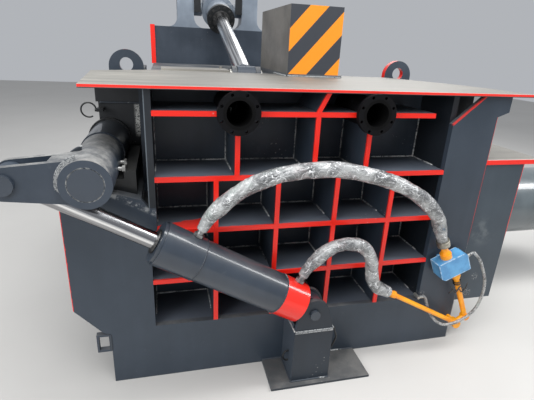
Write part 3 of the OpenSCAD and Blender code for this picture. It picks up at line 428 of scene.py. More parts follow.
dress(["ledge_plate"], machine_paint("ledge_paint", dust=1.2, specks=0.5))
# The chalk patch on upward faces is partly chalk dust and partly a painted highlight on the arm's and hub's tops.
dress(["crank_arm"], machine_paint(
    "arm_paint", dust=1.7, gloss=0.06, specks=0.3,
    patches=[(lambda f: f.noise(6.0, 6.0, 0.8).ramp(0.40, 0.72) * f.nz.ramp(0.15, 0.7) * 0.75, CHALK),
             (shaft_line, CHALK)]))
glossy_solids = ["cylinder_head", "cylinder_tube", "pedestal_pin", "crank_pin", "crank_shaft",
                 "bearing_housing"]
dress(glossy_solids, machine_paint(
    "cylinder_paint", dust=0.3, gloss=0.08, coat=0.5, tint=((0.022, 0.031, 0.045), (0.033, 0.045, 0.063)),
    patches=[(shaft_line, CHALK)]))
# The drum is tinted much paler than the other cylinders: a painted sheen on its glossy paint.
dress(["side_barrel"], machine_paint(
    "drum_paint", dust=0.2, gloss=0.12, coat=0.5, tint=((0.070, 0.088, 0.098), (0.105, 0.128, 0.140))))
# The pedestal is tinted dark, and its faces that look left are painted paler: painted light on the side the light
# falls on.
dress(["pedestal"], machine_paint(
    "pedestal_paint", dust=0.7, specks=0.4, tint=((0.011, 0.017, 0.026), (0.017, 0.025, 0.036)),
    patches=[(lambda f: f.nx.ramp(-0.4, -0.8) * 0.8, (0.062, 0.078, 0.100)),
             (lambda f: f.z.ramp(0.020, 0.016) * f.nz.ramp(0.6, 0.9) * 0.6, (0.070, 0.074, 0.078))]))
dress(["cylinder_cap"], machine_paint("cap_paint", red=cap_red, dust=0.15, gloss=0.10, coat=0.35))
# The pale patches on the columns and the lid barrel are painted highlights.
dress(["trunnion_columns", "lid_barrel"], machine_paint(
    "column_paint", tint=((0.15, 0.18, 0.22), (0.24, 0.28, 0.33)), dust=0.4,
    patches=[(lambda f: f.noise(7.0, 5.0, 0.7).ramp(0.58, 0.70) * 0.6, (0.45, 0.47, 0.48))]))
# The lock flanges' near-black tint is painted shadow: the shadow of the lid that overhangs them.
flange_paint = machine_paint(
    "flange_paint", tint=((0.0018, 0.0018, 0.0020), (0.0034, 0.0034, 0.0036)), dust=0.0, gloss=-0.25,
    patches=[(flange_face, (0.005, 0.005, 0.006))])
flange_paint.node_tree.nodes["Principled BSDF"].inputs["Specular IOR Level"].default_value = 0.10
dress(["left_lock_flange", "right_lock_flange"], flange_paint)
black_solids = ["lid_gland", "bearing_ring", "bearing_block", "rear_bearing", "grease_line", "pedestal_handles",
                "trunnion_guards"]
dress(black_solids, machine_paint(
    "black_paint", tint=((0.008, 0.009, 0.010), (0.018, 0.020, 0.022)), dust=0.4, gloss=0.08))
print("paints:", [m.name for m in bpy.data.materials])

# %% [markdown]
# The lid's top plate, the cover of the side housing and the strip behind the lid are
# bare plate. Mill scale has been walked and wiped off, so the steel is pale and warm,
# smeared along its length, with darker blotches. Right of x = -0.4 m it is darkened
# further: a painted reflection of the dark things the plate mirrors. The front edges of
# the lid and the cover carry the same red brush line as the ribs.

# %% Bare plate
def bare_plate(name, red_front=None, red_low=None):
    """Pale steel, red on the edge at y = red_front and dark on that edge below z = red_low."""
    f = Finish(name)
    smear = f.noise(5.0, 6.0, 0.65, f.stretch(0.5, 3.0, 1.0), 0.6)
    streak = f.noise(3.0, 5.0, 0.7, f.stretch(0.25, 6.0, 1.0))
    grain = f.noise(90.0, 3.0, 0.6, f.stretch(0.15, 1.0, 1.0))
    blotch = f.noise(2.0, 4.0, 0.6)
    color = f.mix(smear.ramp(0.30, 0.70), (0.255, 0.247, 0.224), (0.385, 0.368, 0.328))
    color = f.mix(blotch.ramp(0.50, 0.75) * 0.4, color, (0.19, 0.18, 0.165))
    color = f.mix(streak.ramp(0.52, 0.66) * 0.45, color, (0.150, 0.148, 0.132))
    # Darker right of x = -0.4 m: a painted reflection of dark surroundings in the steel.
    color = f.mix(f.x.ramp(-0.85, -0.40) * 0.60, color, (0.180, 0.172, 0.158))
    metal = 0.35
    if red_front is not None:
        wander = (f.noise(24.0, 3.0, 0.5) - 0.5) * 0.004
        color = f.mix((f.y + wander).ramp(red_front + 0.012, red_front + 0.008), color, (0.52, 0.50, 0.46))
        mask = (f.y + wander).ramp(red_front + 0.004, red_front + 0.001)
        if red_low is not None:
            low = (f.z + wander * 0.4).ramp(red_low, red_low + 0.002)
            color = f.mix(mask * (1.0 - low), color, (0.030, 0.026, 0.028))
            mask = mask * low
        color = f.mix(mask, color, RED)
        metal = (1.0 - mask) * 0.35
    normal = f.bump(grain * 0.6 + smear * 0.4, 0.15, 0.002)
    return f.close(color, 0.45 + smear * 0.15, metal, normal=normal)


dress(["lid_plate"], bare_plate("lid_plate_steel", red_front=-0.020, red_low=1.4285))
dress(["housing_top"], bare_plate("housing_top_steel", red_front=0.0))
dress(["lid_edge_strip"], bare_plate("strip_steel"))
print("bare plates dressed: 3")

# %% [markdown]
# Rods that slide through seals are hard chrome: a mirror, with faint scratches along
# the stroke and a thin film of oil. Plated fittings are duller. The rams inside the
# chamber are painted once and then rubbed bare by scrap.

# %% Chrome, fittings, rams
def chrome_rod(name, eye_place, way):
    """Scratches are a noise of the two distances u, v across the rod and of a fiftieth of the one along it."""
    f = Finish(name)
    way = way / np.linalg.norm(way)
    level = np.cross(way, [0.0, 1.0, 0.0]) if abs(way[1]) < 0.5 else np.array([1.0, 0.0, 0.0])
    s, u, v = (along(f, eye_place, axis) for axis in (way, level, np.cross(way, level)))
    scratched = f.node("ShaderNodeCombineXYZ", {}, {0: u, 1: v, 2: s * 0.02}).outputs[0]
    streak = f.noise(48.0, 3.0, 0.6, scratched)
    oil = f.noise(5.0, 5.0, 0.65)
    color = f.mix(streak.ramp(0.42, 0.60), (0.30, 0.30, 0.31), (0.88, 0.88, 0.88))
    color = f.mix(oil.ramp(0.58, 0.75) * 0.5, color, (0.42, 0.41, 0.40))
    painted_eye = (s * s + u * u + v * v).math("SQRT").ramp(0.100, 0.095)
    color = f.mix(painted_eye, color, GREY_PALE)
    return f.close(color, 0.09 + oil * 0.10 + streak * 0.10 + painted_eye * 0.3, 1.0 - painted_eye)


def plated(name, pale=(0.62, 0.61, 0.57), dull=(0.36, 0.35, 0.32)):
    """Metal with stains from pale to dull."""
    f = Finish(name)
    stain = f.noise(28.0, 5.0, 0.65)
    color = f.mix(stain.ramp(0.4, 0.65), pale, dull)
    return f.close(color, 0.28 + stain * 0.3, 0.85, normal=f.bump(f.noise(120.0, 2.0), 0.1, 0.001))


def rubbed_ram(name):
    """Dark paint that is rubbed through to the steel in patches."""
    f = Finish(name)
    rub = f.noise(4.0, 6.0, 0.7, f.stretch(1.0, 1.0, 2.5)).ramp(0.42, 0.6)
    color = f.mix(rub, (0.07, 0.08, 0.09), (0.36, 0.34, 0.31))
    return f.close(color, 0.35 + rub * 0.2, rub * 0.7, normal=f.bump(f.noise(40.0, 5.0), 0.2, 0.003))


dress(["cylinder_rod"], chrome_rod("crank_rod_chrome", crank_pin, cylinder_way))
dress(["lid_rod"], chrome_rod("lid_rod_chrome", lid_eye, lid_way))
dress(["pilot_fittings", "lid_lug_pins", "lid_hinge_pins"], plated("fitting_steel"))
dress(["hub_bolts"], plated("bolt_steel", (0.40, 0.40, 0.39), (0.10, 0.10, 0.10)))
dress(["port_adapters"], plated("adapter_steel", (0.34, 0.34, 0.34), (0.13, 0.13, 0.135)))
dress(["side_ram", "rear_ram"], rubbed_ram("ram_steel"))
print("rods, fittings and rams dressed")

# %% [markdown]
# The box on the lid wears warning stripes on its front face only: bands that rise to
# the right, two equal widths of orange and dark grey. A stripe is the fractional part
# of a slanted coordinate. The sides keep their warm grey undercoat, and the low lip
# under the box is painted darker.

# %% Warning stripes
box_foot = 1.455
stripe_pair, stripe_slope, stripe_start = 0.259, 1.12, 0.985


def warning_stripes(name):
    """Orange where the fraction of (z - slope x - start) / pair is below a half."""
    f = Finish(name)
    band = ((f.z - f.x * stripe_slope - stripe_start) / stripe_pair).math("FRACT")
    wear = f.noise(26.0, 6.0, 0.7)
    stripes = f.mix(between(band, 0.006, 0.5, 0.006), (0.035, 0.040, 0.050), (0.86, 0.275, 0.008))
    stripes = f.mix(wear.ramp(0.66, 0.74) * 0.5, stripes, (0.20, 0.17, 0.13))
    sides = f.mix(f.noise(3.0, 5.0, 0.6).ramp(0.38, 0.62), (0.115, 0.108, 0.100), (0.175, 0.165, 0.150))
    lip = f.mix(wear.ramp(0.4, 0.6), (0.070, 0.078, 0.088), (0.110, 0.120, 0.132))
    sides = f.mix(f.z.ramp(box_foot + 0.0005, box_foot - 0.0005), sides, lip)
    front = f.ny.ramp(-0.4, -0.6) * f.z.ramp(box_foot - 0.0005, box_foot + 0.0005)
    normal = f.bump(f.noise(70.0, 3.0), 0.12, 0.002)
    return f.close(f.mix(front, sides, stripes), 0.42 + wear * 0.2, normal=normal)


dress(["striped_box"], warning_stripes("stripe_paint"))
print("stripe width:", round(stripe_pair / 2, 4), "m, measured upwards")

# %% [markdown]
# The valve block and the oil pipes are dipped in glossy paint. It pools darker in some
# places and is chipped to the metal in others. On the blue block every edge is pale,
# partly paint rubbed thin and partly a painted highlight where the edges catch the light.

# %% Blue valve, yellow pipes
def valve_edges(f):
    """Where two of the block's three pairs of faces are near: ab + bc + ac of the three nearnesses."""
    across = zip((valve_way, (0, 1, 0), valve_up), valve_half)
    a, b, c = (abs(along(f, valve, way)).ramp(half - 0.005, half - 0.0005) for way, half in across)
    return (a * b + b * c + a * c).least(1.0)


def gloss_coat(name, pale, deep, chips, edges=None):
    """Glossy paint between two colours; chips says how bare its chips are, edges where its edges are pale, from
    rubbed paint and a painted highlight.
    """
    f = Finish(name)
    pool = f.noise(14.0, 4.0, 0.6)
    chip = f.noise(75.0, 5.0, 0.7).ramp(0.66, 0.70) * chips
    color = f.mix(chip, f.mix(pool.ramp(0.35, 0.65), deep, pale), (0.20, 0.19, 0.18))
    # Pale edges on the blue block: partly rubbed paint, partly a painted highlight.
    if edges is not None:
        color = f.mix(edges(f) * f.noise(60.0, 4.0, 0.7).ramp(0.40, 0.55) * 0.8, color, (0.55, 0.68, 0.78))
    normal = f.bump(pool * 0.5 + f.noise(160.0, 2.0) * 0.5, 0.12, 0.001)
    return f.close(color, 0.26 + pool * 0.2 + chip * 0.2, coat=0.25, normal=normal)


pipe_yellow = gloss_coat("pipe_yellow", (1.0, 0.43, 0.008), (0.95, 0.32, 0.005), 0.5)
dress(["valve_fittings", "oil_pipes"], pipe_yellow)
dress(["valve_block"], gloss_coat("valve_blue", (0.115, 0.36, 0.64), (0.070, 0.25, 0.50), 0.8, valve_edges))
print("finishes so far:", len(bpy.data.materials))

# %% [markdown]
# The new pieces are mostly tubes: a ring of points carried along a smooth curve, with
# a radius that may change from point to point. Rings of different sizes along one
# straight line make turned parts in the same way, so both share one function.

# %% Tubes along a path
def smooth_path(points, count):
    """Catmull-Rom: from p1 to p2 the curve is a cubic whose slopes there are (p2-p0)/2 and (p3-p1)/2."""
    p = np.asarray(points, float)
    p = np.vstack([2 * p[0] - p[1], p, 2 * p[-1] - p[-2]])
    t = np.linspace(0, len(points) - 1 - 1e-9, count * 4)
    i = t.astype(int)
    u = (t - i)[:, None]
    a, b, c, d = p[i], p[i + 1], p[i + 2], p[i + 3]
    q = 0.5 * (2 * b + (c - a) * u + (2 * a - 5 * b + 4 * c - d) * u ** 2 + (3 * b - a - 3 * c + d) * u ** 3)
    s = np.concatenate([[0], np.cumsum(np.linalg.norm(np.diff(q, axis=0), axis=1))])
    even = np.linspace(0, s[-1], count)
    return np.stack([np.interp(even, s, q[:, k]) for k in range(3)], axis=1), float(s[-1])


def ring_frames(path):
    """Two unit vectors across the path: u is t x y, or t x z where the path runs along y, and v is t x u."""
    t = np.gradient(path, axis=0)
    t /= np.linalg.norm(t, axis=1)[:, None]
    side = np.tile([0.0, 1.0, 0.0], (len(path), 1))
    side[np.abs(t[:, 1]) > 0.9] = (0.0, 0.0, 1.0)
    u = np.cross(t, side)
    u /= np.linalg.norm(u, axis=1)[:, None]
    return u, np.cross(t, u)


def closed_rings(centres, radius, u, v, start=0):
    """Point (i, k) = centre_i + radius_ik (cos a_k u_i + sin a_k v_i); a centre point closes each end."""
    rings, sides = radius.shape
    a = 2 * np.pi * np.arange(sides) / sides
    across = np.cos(a)[None, :, None] * u[:, None] + np.sin(a)[None, :, None] * v[:, None]
    ring = centres[:, None] + radius[..., None] * across
    verts = np.vstack([ring.reshape(-1, 3), centres[:1], centres[-1:]])
    i, k = np.meshgrid(np.arange(rings - 1), np.arange(sides), indexing="ij")
    k1 = (k + 1) % sides
    quads = np.stack([i * sides + k, (i + 1) * sides + k, (i + 1) * sides + k1, i * sides + k1], -1)
    kk, n = np.arange(sides), rings * sides
    first = np.stack([np.full(sides, n), kk, (kk + 1) % sides], -1)
    last = np.stack([np.full(sides, n + 1), n - sides + (kk + 1) % sides, n - sides + kk], -1)
    return verts, [(face + start).tolist() for face in (*quads.reshape(-1, 4), *first, *last)]


def tube_arrays(path, radius, start=0):
    """Closed rings across a curved path."""
    return closed_rings(path, radius, *ring_frames(path), start)


def mesh_piece(name, verts, faces, material, body, smooth=True):
    """A new piece from points and faces, with its place in its mesh."""
    data = bpy.data.meshes.new(name)
    data.from_pydata(verts.tolist(), [], faces)
    data.polygons.foreach_set("use_smooth", np.full(len(data.polygons), smooth))
    data.materials.append(material)
    data.update()
    piece = bpy.data.objects.new(name, data)
    bpy.context.scene.collection.objects.link(piece)
    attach(piece, body)
    return piece


def outward(piece):
    """Turns a closed piece's faces outwards if its signed volume, the sum of a . (b x c), is below 0."""
    data = piece.data
    co = np.empty(len(data.vertices) * 3)
    data.vertices.foreach_get("co", co)
    data.calc_loop_triangles()
    tri = np.empty(len(data.loop_triangles) * 3, int)
    data.loop_triangles.foreach_get("vertices", tri)
    a, b, c = (co.reshape(-1, 3)[tri.reshape(-1, 3)[:, i]] for i in range(3))
    if np.einsum("ij,ij->i", a, np.cross(b, c)).sum() < 0:
        data.flip_normals()
    return piece


# %% [markdown]
# The hoses carry oil to both ends of the turning cylinder. Each is still wrapped in
# the clear film it was shipped in, so it looks silver and crumpled. Film is neither
# metal nor plain plastic: thin bright creases, painted highlights, run between cells
# drawn out along the machine's width, over patches of pale and dark grey. A faint tint
# of red and green on them is painted glints. A clear coat adds the sparkle.

# %% Film finish
def film(name, pale, dark, size):
    """Creases are borders between scattered cells, on a place bent by a noise; size scales it all."""
    f = Finish(name)
    crumple = f.node("ShaderNodeTexNoise", {}, {"Vector": f.place, "Scale": 22.0 / size, "Detail": 4.0})
    settings = {"data_type": "RGBA", "blend_type": "LINEAR_LIGHT"}
    bent = f.node("ShaderNodeMix", settings, {"Factor": 0.035 * size, 6: f.place, 7: crumple.outputs["Color"]})
    drawn = f.stretch(0.42, 1.0, 1.15, bent.outputs[2])
    large, small = f.creases(23.0 / size, drawn), f.creases(52.0 / size, drawn)
    grey, shade = f.noise(13.0 / size, 3.0, 0.55), f.noise(9.0 / size, 3.0)
    # The bright creases are painted highlights, and the red and green tints below are painted glints.
    crest = large.ramp(0.04, 0.005) * f.noise(30.0 / size, 2.0).ramp(0.40, 0.55) * 0.9
    color = f.mix(grey.ramp(0.40, 0.62), dark, pale)
    color = f.mix(crest.most(small.ramp(0.05, 0.0) * 0.4), color, (0.86, 0.87, 0.88))
    color = f.mix(shade.ramp(0.60, 0.72) * 0.30, color, (0.62, 0.50, 0.50))
    color = f.mix(shade.ramp(0.42, 0.30) * 0.25, color, (0.44, 0.55, 0.50))
    height = large.ramp(0.0, 0.10) * 0.35 + small.ramp(0.0, 0.16) * 0.16
    return f.close(color, 0.22 + grey * 0.16, 0.10, 0.5, f.bump(height, 0.8, 0.006 * size))


hose_film = film("hose_film", (0.37, 0.38, 0.38), (0.12, 0.125, 0.13), 1.0)
pilot_film = film("pilot_film", (0.27, 0.27, 0.26), (0.12, 0.12, 0.12), 0.35)
print("film finishes made: 2")

# %% [markdown]
# Two hoses run from the turning cylinder's ports, one to the valve block and one to the
# yellow pipe. A thin one runs from the valve block to a fitting on the front plate. Each
# route is a list of round points, with its ends worked out from the ports:
# square to the cylinder there, and along the block's own tilt at the valve.

# %% Hose routes
def port_point(s, h):
    """s along the turning cylinder from its pedestal pin, h out to its upper side."""
    return pedestal_pin + s * cylinder_way + h * cylinder_side


def valve_point(x, z):
    """x along the tilted valve block and z up from its centre."""
    return valve + x * valve_way + z * valve_up


pipe_start = np.array([0.446, -0.080, 0.422])
pipe_end = np.array([0.948, -0.060, 0.142])
pipe_way = (pipe_end - pipe_start) / np.linalg.norm(pipe_end - pipe_start)
upper_points = [
    port_point(0.681, 0.130), port_point(0.681, 0.190),
    (-0.448, -0.130, 0.962), (-0.380, -0.138, 1.022), (-0.290, -0.144, 1.074), (-0.180, -0.148, 1.108),
    (-0.060, -0.150, 1.123), (0.060, -0.150, 1.120), (0.180, -0.148, 1.098), (0.300, -0.144, 1.064),
    (0.410, -0.138, 1.020), (0.500, -0.130, 0.968), (0.578, -0.120, 0.906), (0.640, -0.106, 0.838),
    valve_point(-0.015, 0.234), valve_point(-0.015, 0.1343)]
lower_points = [
    port_point(0.136, 0.130), port_point(0.136, 0.180),
    (0.024, -0.124, 0.690), (0.084, -0.126, 0.732), (0.150, -0.126, 0.748), (0.216, -0.124, 0.736),
    (0.268, -0.120, 0.700), (0.300, -0.116, 0.646), (0.314, -0.110, 0.584), (0.328, -0.104, 0.524),
    (0.362, -0.094, 0.474), pipe_start - 0.042 * pipe_way, pipe_start - 0.0003 * pipe_way]
pilot_points = [
    valve_point(0.1163, 0), valve_point(0.142, 0),
    (0.950, -0.066, 0.600), (0.984, -0.074, 0.562), (1.012, -0.080, 0.508), (1.036, -0.084, 0.450),
    (1.046, -0.088, 0.389), (1.042, -0.090, 0.330), (1.023, -0.092, 0.267), (0.985, -0.094, 0.222),
    (0.935, -0.098, 0.196), (0.890, -0.100, 0.182), (0.852, -0.094, 0.172), (0.820, -0.080, 0.170),
    (0.794, -0.062, 0.184), (0.770, -0.046, 0.214), (0.750, -0.038, 0.250), (0.734, -0.034, 0.292),
    (0.722, -0.034, 0.320), (0.708, -0.034, 0.334), (0.6983, -0.034, 0.334)]
print("route points:", len(upper_points), len(lower_points), len(pilot_points))

# %% [markdown]
# The film round a hose is a tube with its radius changed: long sharp folds that spiral
# round it in many directions, a lumpy swell along its length, and ends drawn tight where
# it is tied. Real folds could be simulated as cloth, but nine waves with sharp crests
# look much the same from a metre away, and they come out alike each time.

# %% Wrapped hoses
def drawn_tight(distance, size, reach):
    """From size at the hose's end to 1 at reach from it, eased: size + (1 - size) (3 e^2 - 2 e^3)."""
    ease = np.clip(distance / reach, 0, 1)
    return size + (1 - size) * ease * ease * (3 - 2 * ease)


def film_hose(node, points, radius, rings, sides, lumps, material, first_end=1.0, last_end=1.0):
    """r(s, a) = R t(s) (1 + lumps e(s) (1 - 1.25 F + 0.3 w(s, a))).

    t draws the ends tight, e fades the lumps there and w is a slow swell. F is the largest of nine folds
    0.93^k (1 - |sin|)^1.6, each with its own pitch along the hose, its own turns round it and its own bend.
    """
    path, length = smooth_path(points, rings)
    s = np.linspace(0, length, rings)[:, None]
    a = 2 * np.pi * np.arange(sides)[None] / sides
    rng = np.random.default_rng(len(points) + 3)
    folds = 0
    for k in range(9):
        pitch = rng.uniform(0.25, 0.55) * 1.34 ** k
        turns = int(rng.integers(1, 3 + k // 2)) * rng.choice([-1, 1])
        bend = 0.9 * np.sin(s * pitch / radius * 0.31 + rng.uniform(0, 6)) + 0.5 * np.sin(2 * a + s * 7 + k)
        crest = 1 - np.abs(np.sin(0.5 * (s * pitch / radius + turns * a) + bend * 0.5 + rng.uniform(0, 6)))
        folds = np.maximum(folds, crest ** 1.6 * 0.93 ** k)
    swell = np.sin(s * 11 + 1) * 0.5 + np.sin(s * 23 + 2 * a) * 0.5
    fade = np.clip(np.minimum(s, length - s) / (radius * 1.2), 0, 1) ** 0.5
    reach = radius * 4.5
    taper = drawn_tight(s, first_end, reach) * drawn_tight(length - s, last_end, reach)
    verts, faces = tube_arrays(path, radius * taper * (1 + fade * lumps * (1.0 - 1.25 * folds + 0.3 * swell)))
    piece = outward(mesh_piece(node + "_film", verts, faces, material, "frame"))
    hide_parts(node)
    print(piece.name, "length", round(length, 3))
    return piece, path, length


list(film_hose("upper_hose", upper_points, 0.0335, 1100, 56, 0.16, hose_film, 0.72, 0.74))
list(film_hose("lower_hose", lower_points, 0.0300, 760, 48, 0.19, hose_film, 0.78))
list(film_hose("pilot_hose", pilot_points, 0.0080, 420, 16, 0.14, pilot_film))

# %% [markdown]
# Plates this thick are joined by hand-laid welds. A bead is a thin ridge with a ripple
# every few millimetres, pale where the slag was brushed off and grey where it was
# painted over. Most run along straight lines, all in a few meshes with few faces each.
# Those round the cylinder and the crank's hub are short lines that follow a circle.

# %% Weld beads
def bead_material(name, bare, speck_scale=70.0, pale=(0.56, 0.57, 0.56)):
    """Painted bead with pale brushed patches; bare says how much of it they cover."""
    f = Finish(name)
    speck = f.noise(speck_scale, 4.0, 0.7)
    patch = f.noise(7.0, 4.0, 0.6).ramp(0.56 - bare * 0.2, 0.62 - bare * 0.1)
    color = f.mix(patch * speck.ramp(0.40, 0.50) * 0.9, (0.045, 0.054, 0.068), pale)
    return f.close(color, 0.45 + speck * 0.2, 0.1, normal=f.bump(speck, 0.4, 0.002))


weld_finish = bead_material("weld_bead", 0.9)
painted_weld = bead_material("painted_weld", 0.0)
brushed_weld = bead_material("brushed_weld", 1.1, 190.0, SEAM_WHITE)


def beads(name, lines, radius, body, pitch=0.012, material=weld_finish):
    """Each line is a five-sided tube of radius R (0.78 + 0.30 |sin(pi s / pitch)| + a small random part)."""
    verts, faces, start = [], [], 0
    rng = np.random.default_rng(7)
    for a, b in lines:
        a, b = np.asarray(a, float), np.asarray(b, float)
        length = np.linalg.norm(b - a)
        rings = max(4, int(length / pitch * 2))
        t = np.linspace(0, 1, rings)
        wave = 0.78 + 0.30 * np.abs(np.sin(np.pi * t * length / pitch)) + rng.normal(0, 0.07, rings)
        path, ring_radius = a + (b - a) * t[:, None], np.tile((radius * wave)[:, None], (1, 5))
        bead, bead_faces = tube_arrays(path, ring_radius, start)
        verts.append(bead)
        faces += bead_faces
        start += len(bead)
    return mesh_piece(name, np.vstack(verts), faces, material, body)


def joined(points):
    """The lines from each point to the next."""
    return list(zip(points[:-1], points[1:]))


def cylinder_ring(s, radius, count=48):
    """A circle round the turning cylinder at s from its pedestal pin, as short lines."""
    front = np.array([0.0, -1.0, 0.0])
    a = np.linspace(0, 2 * np.pi, count + 1)
    out = np.cos(a)[:, None] * front + np.sin(a)[:, None] * np.cross(cylinder_way, front)
    return joined(pedestal_pin + s * cylinder_way + radius * out)


# %% [markdown]
# Inside every rib cell a bead runs along the back of its floor, up both back corners
# and along both sides of its floor. The cells are worked out from the ribs' heights
# and places, row by row.

# %% Rib welds
rib_half, cell_front, cell_back = 0.011, 0.10, 0.286
lower_ribs = [-0.450, -0.162, 0.131, 0.428]
cell_rows = [
    (high_rib + rib_half, 1.319, upper_left, [-0.357, 0.005, 0.265]),
    (middle_rib + rib_half, high_rib - rib_half, upper_left, lower_ribs),
    (low_rib + rib_half, middle_rib - rib_half, window_left, lower_ribs),
    (sill, low_rib - rib_half, window_left, lower_ribs),
]
cell_lines = []
for low, high, first, ribs in cell_rows:
    sides = [first, *[x for rib in ribs for x in (rib - rib_half, rib + rib_half)], window_right]
    for x0, x1 in zip(sides[::2], sides[1::2]):
        cell_lines.append(((x0, cell_back, low), (x1, cell_back, low)))
        cell_lines += [((x, cell_back, low), (x, cell_back, high)) for x in (x0, x1)]
        cell_lines += [((x, cell_front, low), (x, cell_back, low)) for x in (x0, x1)]
beads("rib_welds", cell_lines, 0.0055, "frame")
print("lines of rib weld:", len(cell_lines))

# %% [markdown]
# The other welds join a few plates of the frame, the pedestal to its floor plate and
# its ears, the box to the lid, and the cap and head to the turning cylinder. The box's
# beads ride on the lid, the rings on the cylinder and the rows round the hub on the
# crank, so they move with them. The hub has four rows of bead on each side, each a
# little wider and nearer the arm than the one inside it.

# %% Other welds
pedestal_left, pedestal_right, pedestal_front, floor_bead = -0.092, 0.110, -0.182, 0.014
head_seam, cap_seam, seam_radius = 0.630, 0.206, 0.0955
beads("plate_welds", [
    ((pedestal_left, pedestal_front, floor_bead), (pedestal_left, -0.002, floor_bead)),
    ((pedestal_right, pedestal_front, floor_bead), (pedestal_right, -0.002, floor_bead)),
    ((-0.090, -0.183, floor_bead), (0.108, -0.183, floor_bead)),
    ((-0.200, -0.001, 0.013), (0.330, -0.001, 0.013)),
    ((-0.775, 0.588, 0.96), (-0.775, 0.588, 1.41)),
    ((-0.985, 0.588, 1.293), (-0.775, 0.588, 1.293)),
    ((-0.951, 0.001, 0.19), (-0.951, 0.001, 0.28)),
], 0.0055, "frame", material=painted_weld)
beads("box_welds", [
    ((0.061, 0.760, 1.4445), (0.061, 1.03, 1.4445)),
    ((0.052, 0.748, 1.443), (0.052, 1.02, 1.443)),
    ((0.064, 0.7395, 1.4435), (0.412, 0.7395, 1.4435)),
], 0.0046, "lid", 0.009, brushed_weld)
beads("pedestal_welds", [((-0.088, -0.184, z), (0.106, -0.184, z)) for z in (0.3185, 0.3095)],
      0.0042, "frame", 0.008, brushed_weld)
beads("pedestal_side_welds", [((x, pedestal_front, 0.319), (x, -0.004, 0.319)) for x in (0.1085, -0.0905)],
      0.0045, "frame", 0.009)
beads("cylinder_welds", cylinder_ring(head_seam, seam_radius) + cylinder_ring(cap_seam, seam_radius),
      0.0035, "crank_cylinder_barrel", 0.02, painted_weld)
for name, side, hub_face, finish in (("hub_weld_front", -1, -0.1925, brushed_weld),
                                     ("hub_weld_back", 1, -0.0420, painted_weld)):
    hub_lines = []
    for row in range(4):
        arc = np.radians(np.linspace(112 - 2 * row, 206 - 5 * row, 40))
        out = (0.0925 + 0.0048 * row) * np.stack([np.cos(arc), np.zeros(40), np.sin(arc)], 1)
        hub_lines += joined(shaft + [0, hub_face + side * 0.001 * (5 - row), 0] + out)
    beads(name, hub_lines, 0.0042, "crank", 0.0075, finish)

# %% [markdown]
# Small parts finish the joints: a crimped sleeve where the upper hose meets the valve,
# a ring of bolts on the lid cylinder's gland, a seal ring where each rod leaves its
# cylinder, two studs under the valve and a hex nut on the pipe. All are profiles turned
# about a line: a radius for each distance along it. Four dark tie wires are thin tubes.

# %% Turned pieces and wires
fitting_dark = plated("fitting_dark", (0.10, 0.10, 0.10), (0.03, 0.03, 0.03))
worn_fitting = plated("worn_fitting", (0.34, 0.32, 0.27), (0.20, 0.19, 0.17))


def turned(name, start, way, profile, material, body, sides=40, flats=0):
    """Point = start + d way + r(d) (cos a u + sin a v); with flats, r shrinks towards each flat's middle."""
    way = np.asarray(way, float) / np.linalg.norm(way)
    u = np.cross(way, [0.0, 1.0, 0.0] if abs(way[1]) < 0.9 else [1.0, 0.0, 0.0])
    u /= np.linalg.norm(u)
    shape = np.ones(sides)
    if flats:
        half_flat = np.pi / flats
        a = 2 * np.pi * np.arange(sides) / sides
        shape = np.cos(half_flat) / np.cos((a % (2 * half_flat)) - half_flat)
    distance, radius = np.hsplit(np.asarray(profile, float), 2)
    verts, faces = closed_rings(start + distance * way, radius * shape, u[None], np.cross(way, u)[None])
    return outward(mesh_piece(name, verts, faces, material, body, smooth=False))


def sleeve(name, start, way, radius, length, material, body):
    """Six shallow rings pressed into a short tube: r (1 - 0.07 max(0, sin(11 pi d / length)))."""
    d = np.linspace(0, length, 41)
    ripple = radius * (1.0 - 0.07 * np.clip(np.sin(d / length * np.pi * 11), 0, 1))
    profile = np.vstack([[0, radius * 0.8], np.stack([d, ripple], 1), [length, radius * 0.8]])
    return turned(name, start, way, profile, material, body, 32)


def wire(name, points, rings, radius=0.0032):
    """A dark tie wire along a smooth curve: a tube of eight sides and one radius."""
    path, _ = smooth_path(points, rings)
    verts, faces = tube_arrays(path, np.full((rings, 8), radius))
    return outward(mesh_piece(name, verts, faces, fitting_dark, "frame"))


sleeve("upper_sleeve_high", valve_point(-0.015, 0.1343), valve_up, 0.0345, 0.034, worn_fitting, "frame")
head_face, gland_face = pedestal_pin + 0.826 * cylinder_way, trunnion + 0.315 * lid_way
turned("crank_rod_seal", head_face, cylinder_way,
       [(0, 0.0386), (0, 0.052), (0.004, 0.055), (0.010, 0.052), (0.012, 0.0386)],
       fitting_dark, "crank_cylinder_barrel", 48)
turned("lid_rod_seal", gland_face, lid_way,
       [(0, 0.0592), (0, 0.075), (0.008, 0.079), (0.016, 0.075), (0.018, 0.0592)],
       fitting_dark, "lid_cylinder_barrel", 48)
gland_bolts, bolt_circle = 12, 0.103
gland_right = np.array([1.0, 0.0, 0.0])
for i in range(gland_bolts):
    a = math.tau * (i + 0.5) / gland_bolts
    out = math.cos(a) * gland_right + math.sin(a) * np.cross(lid_way, gland_right)
    turned(f"lid_gland_bolt_{i + 1}", gland_face + bolt_circle * out, lid_way,
           [(0, 0.011), (0.010, 0.011), (0.010, 0.005), (0.011, 0.004)],
           fitting_dark, "lid_cylinder_barrel", 12)
for i, x in enumerate((-0.030, 0.060)):
    turned(f"valve_stud_{i + 1}", valve_point(x, -0.056), -valve_up,
           [(0, 0.011), (0.014, 0.011), (0.014, 0.007), (0.030, 0.007), (0.031, 0.004)],
           fitting_dark, "frame", 24)
turned("pipe_nut", pipe_start + 0.028 * pipe_way, pipe_way,
       [(0, 0.017), (0.002, 0.021), (0.022, 0.021), (0.024, 0.017)], pipe_yellow, "frame", 48, flats=6)

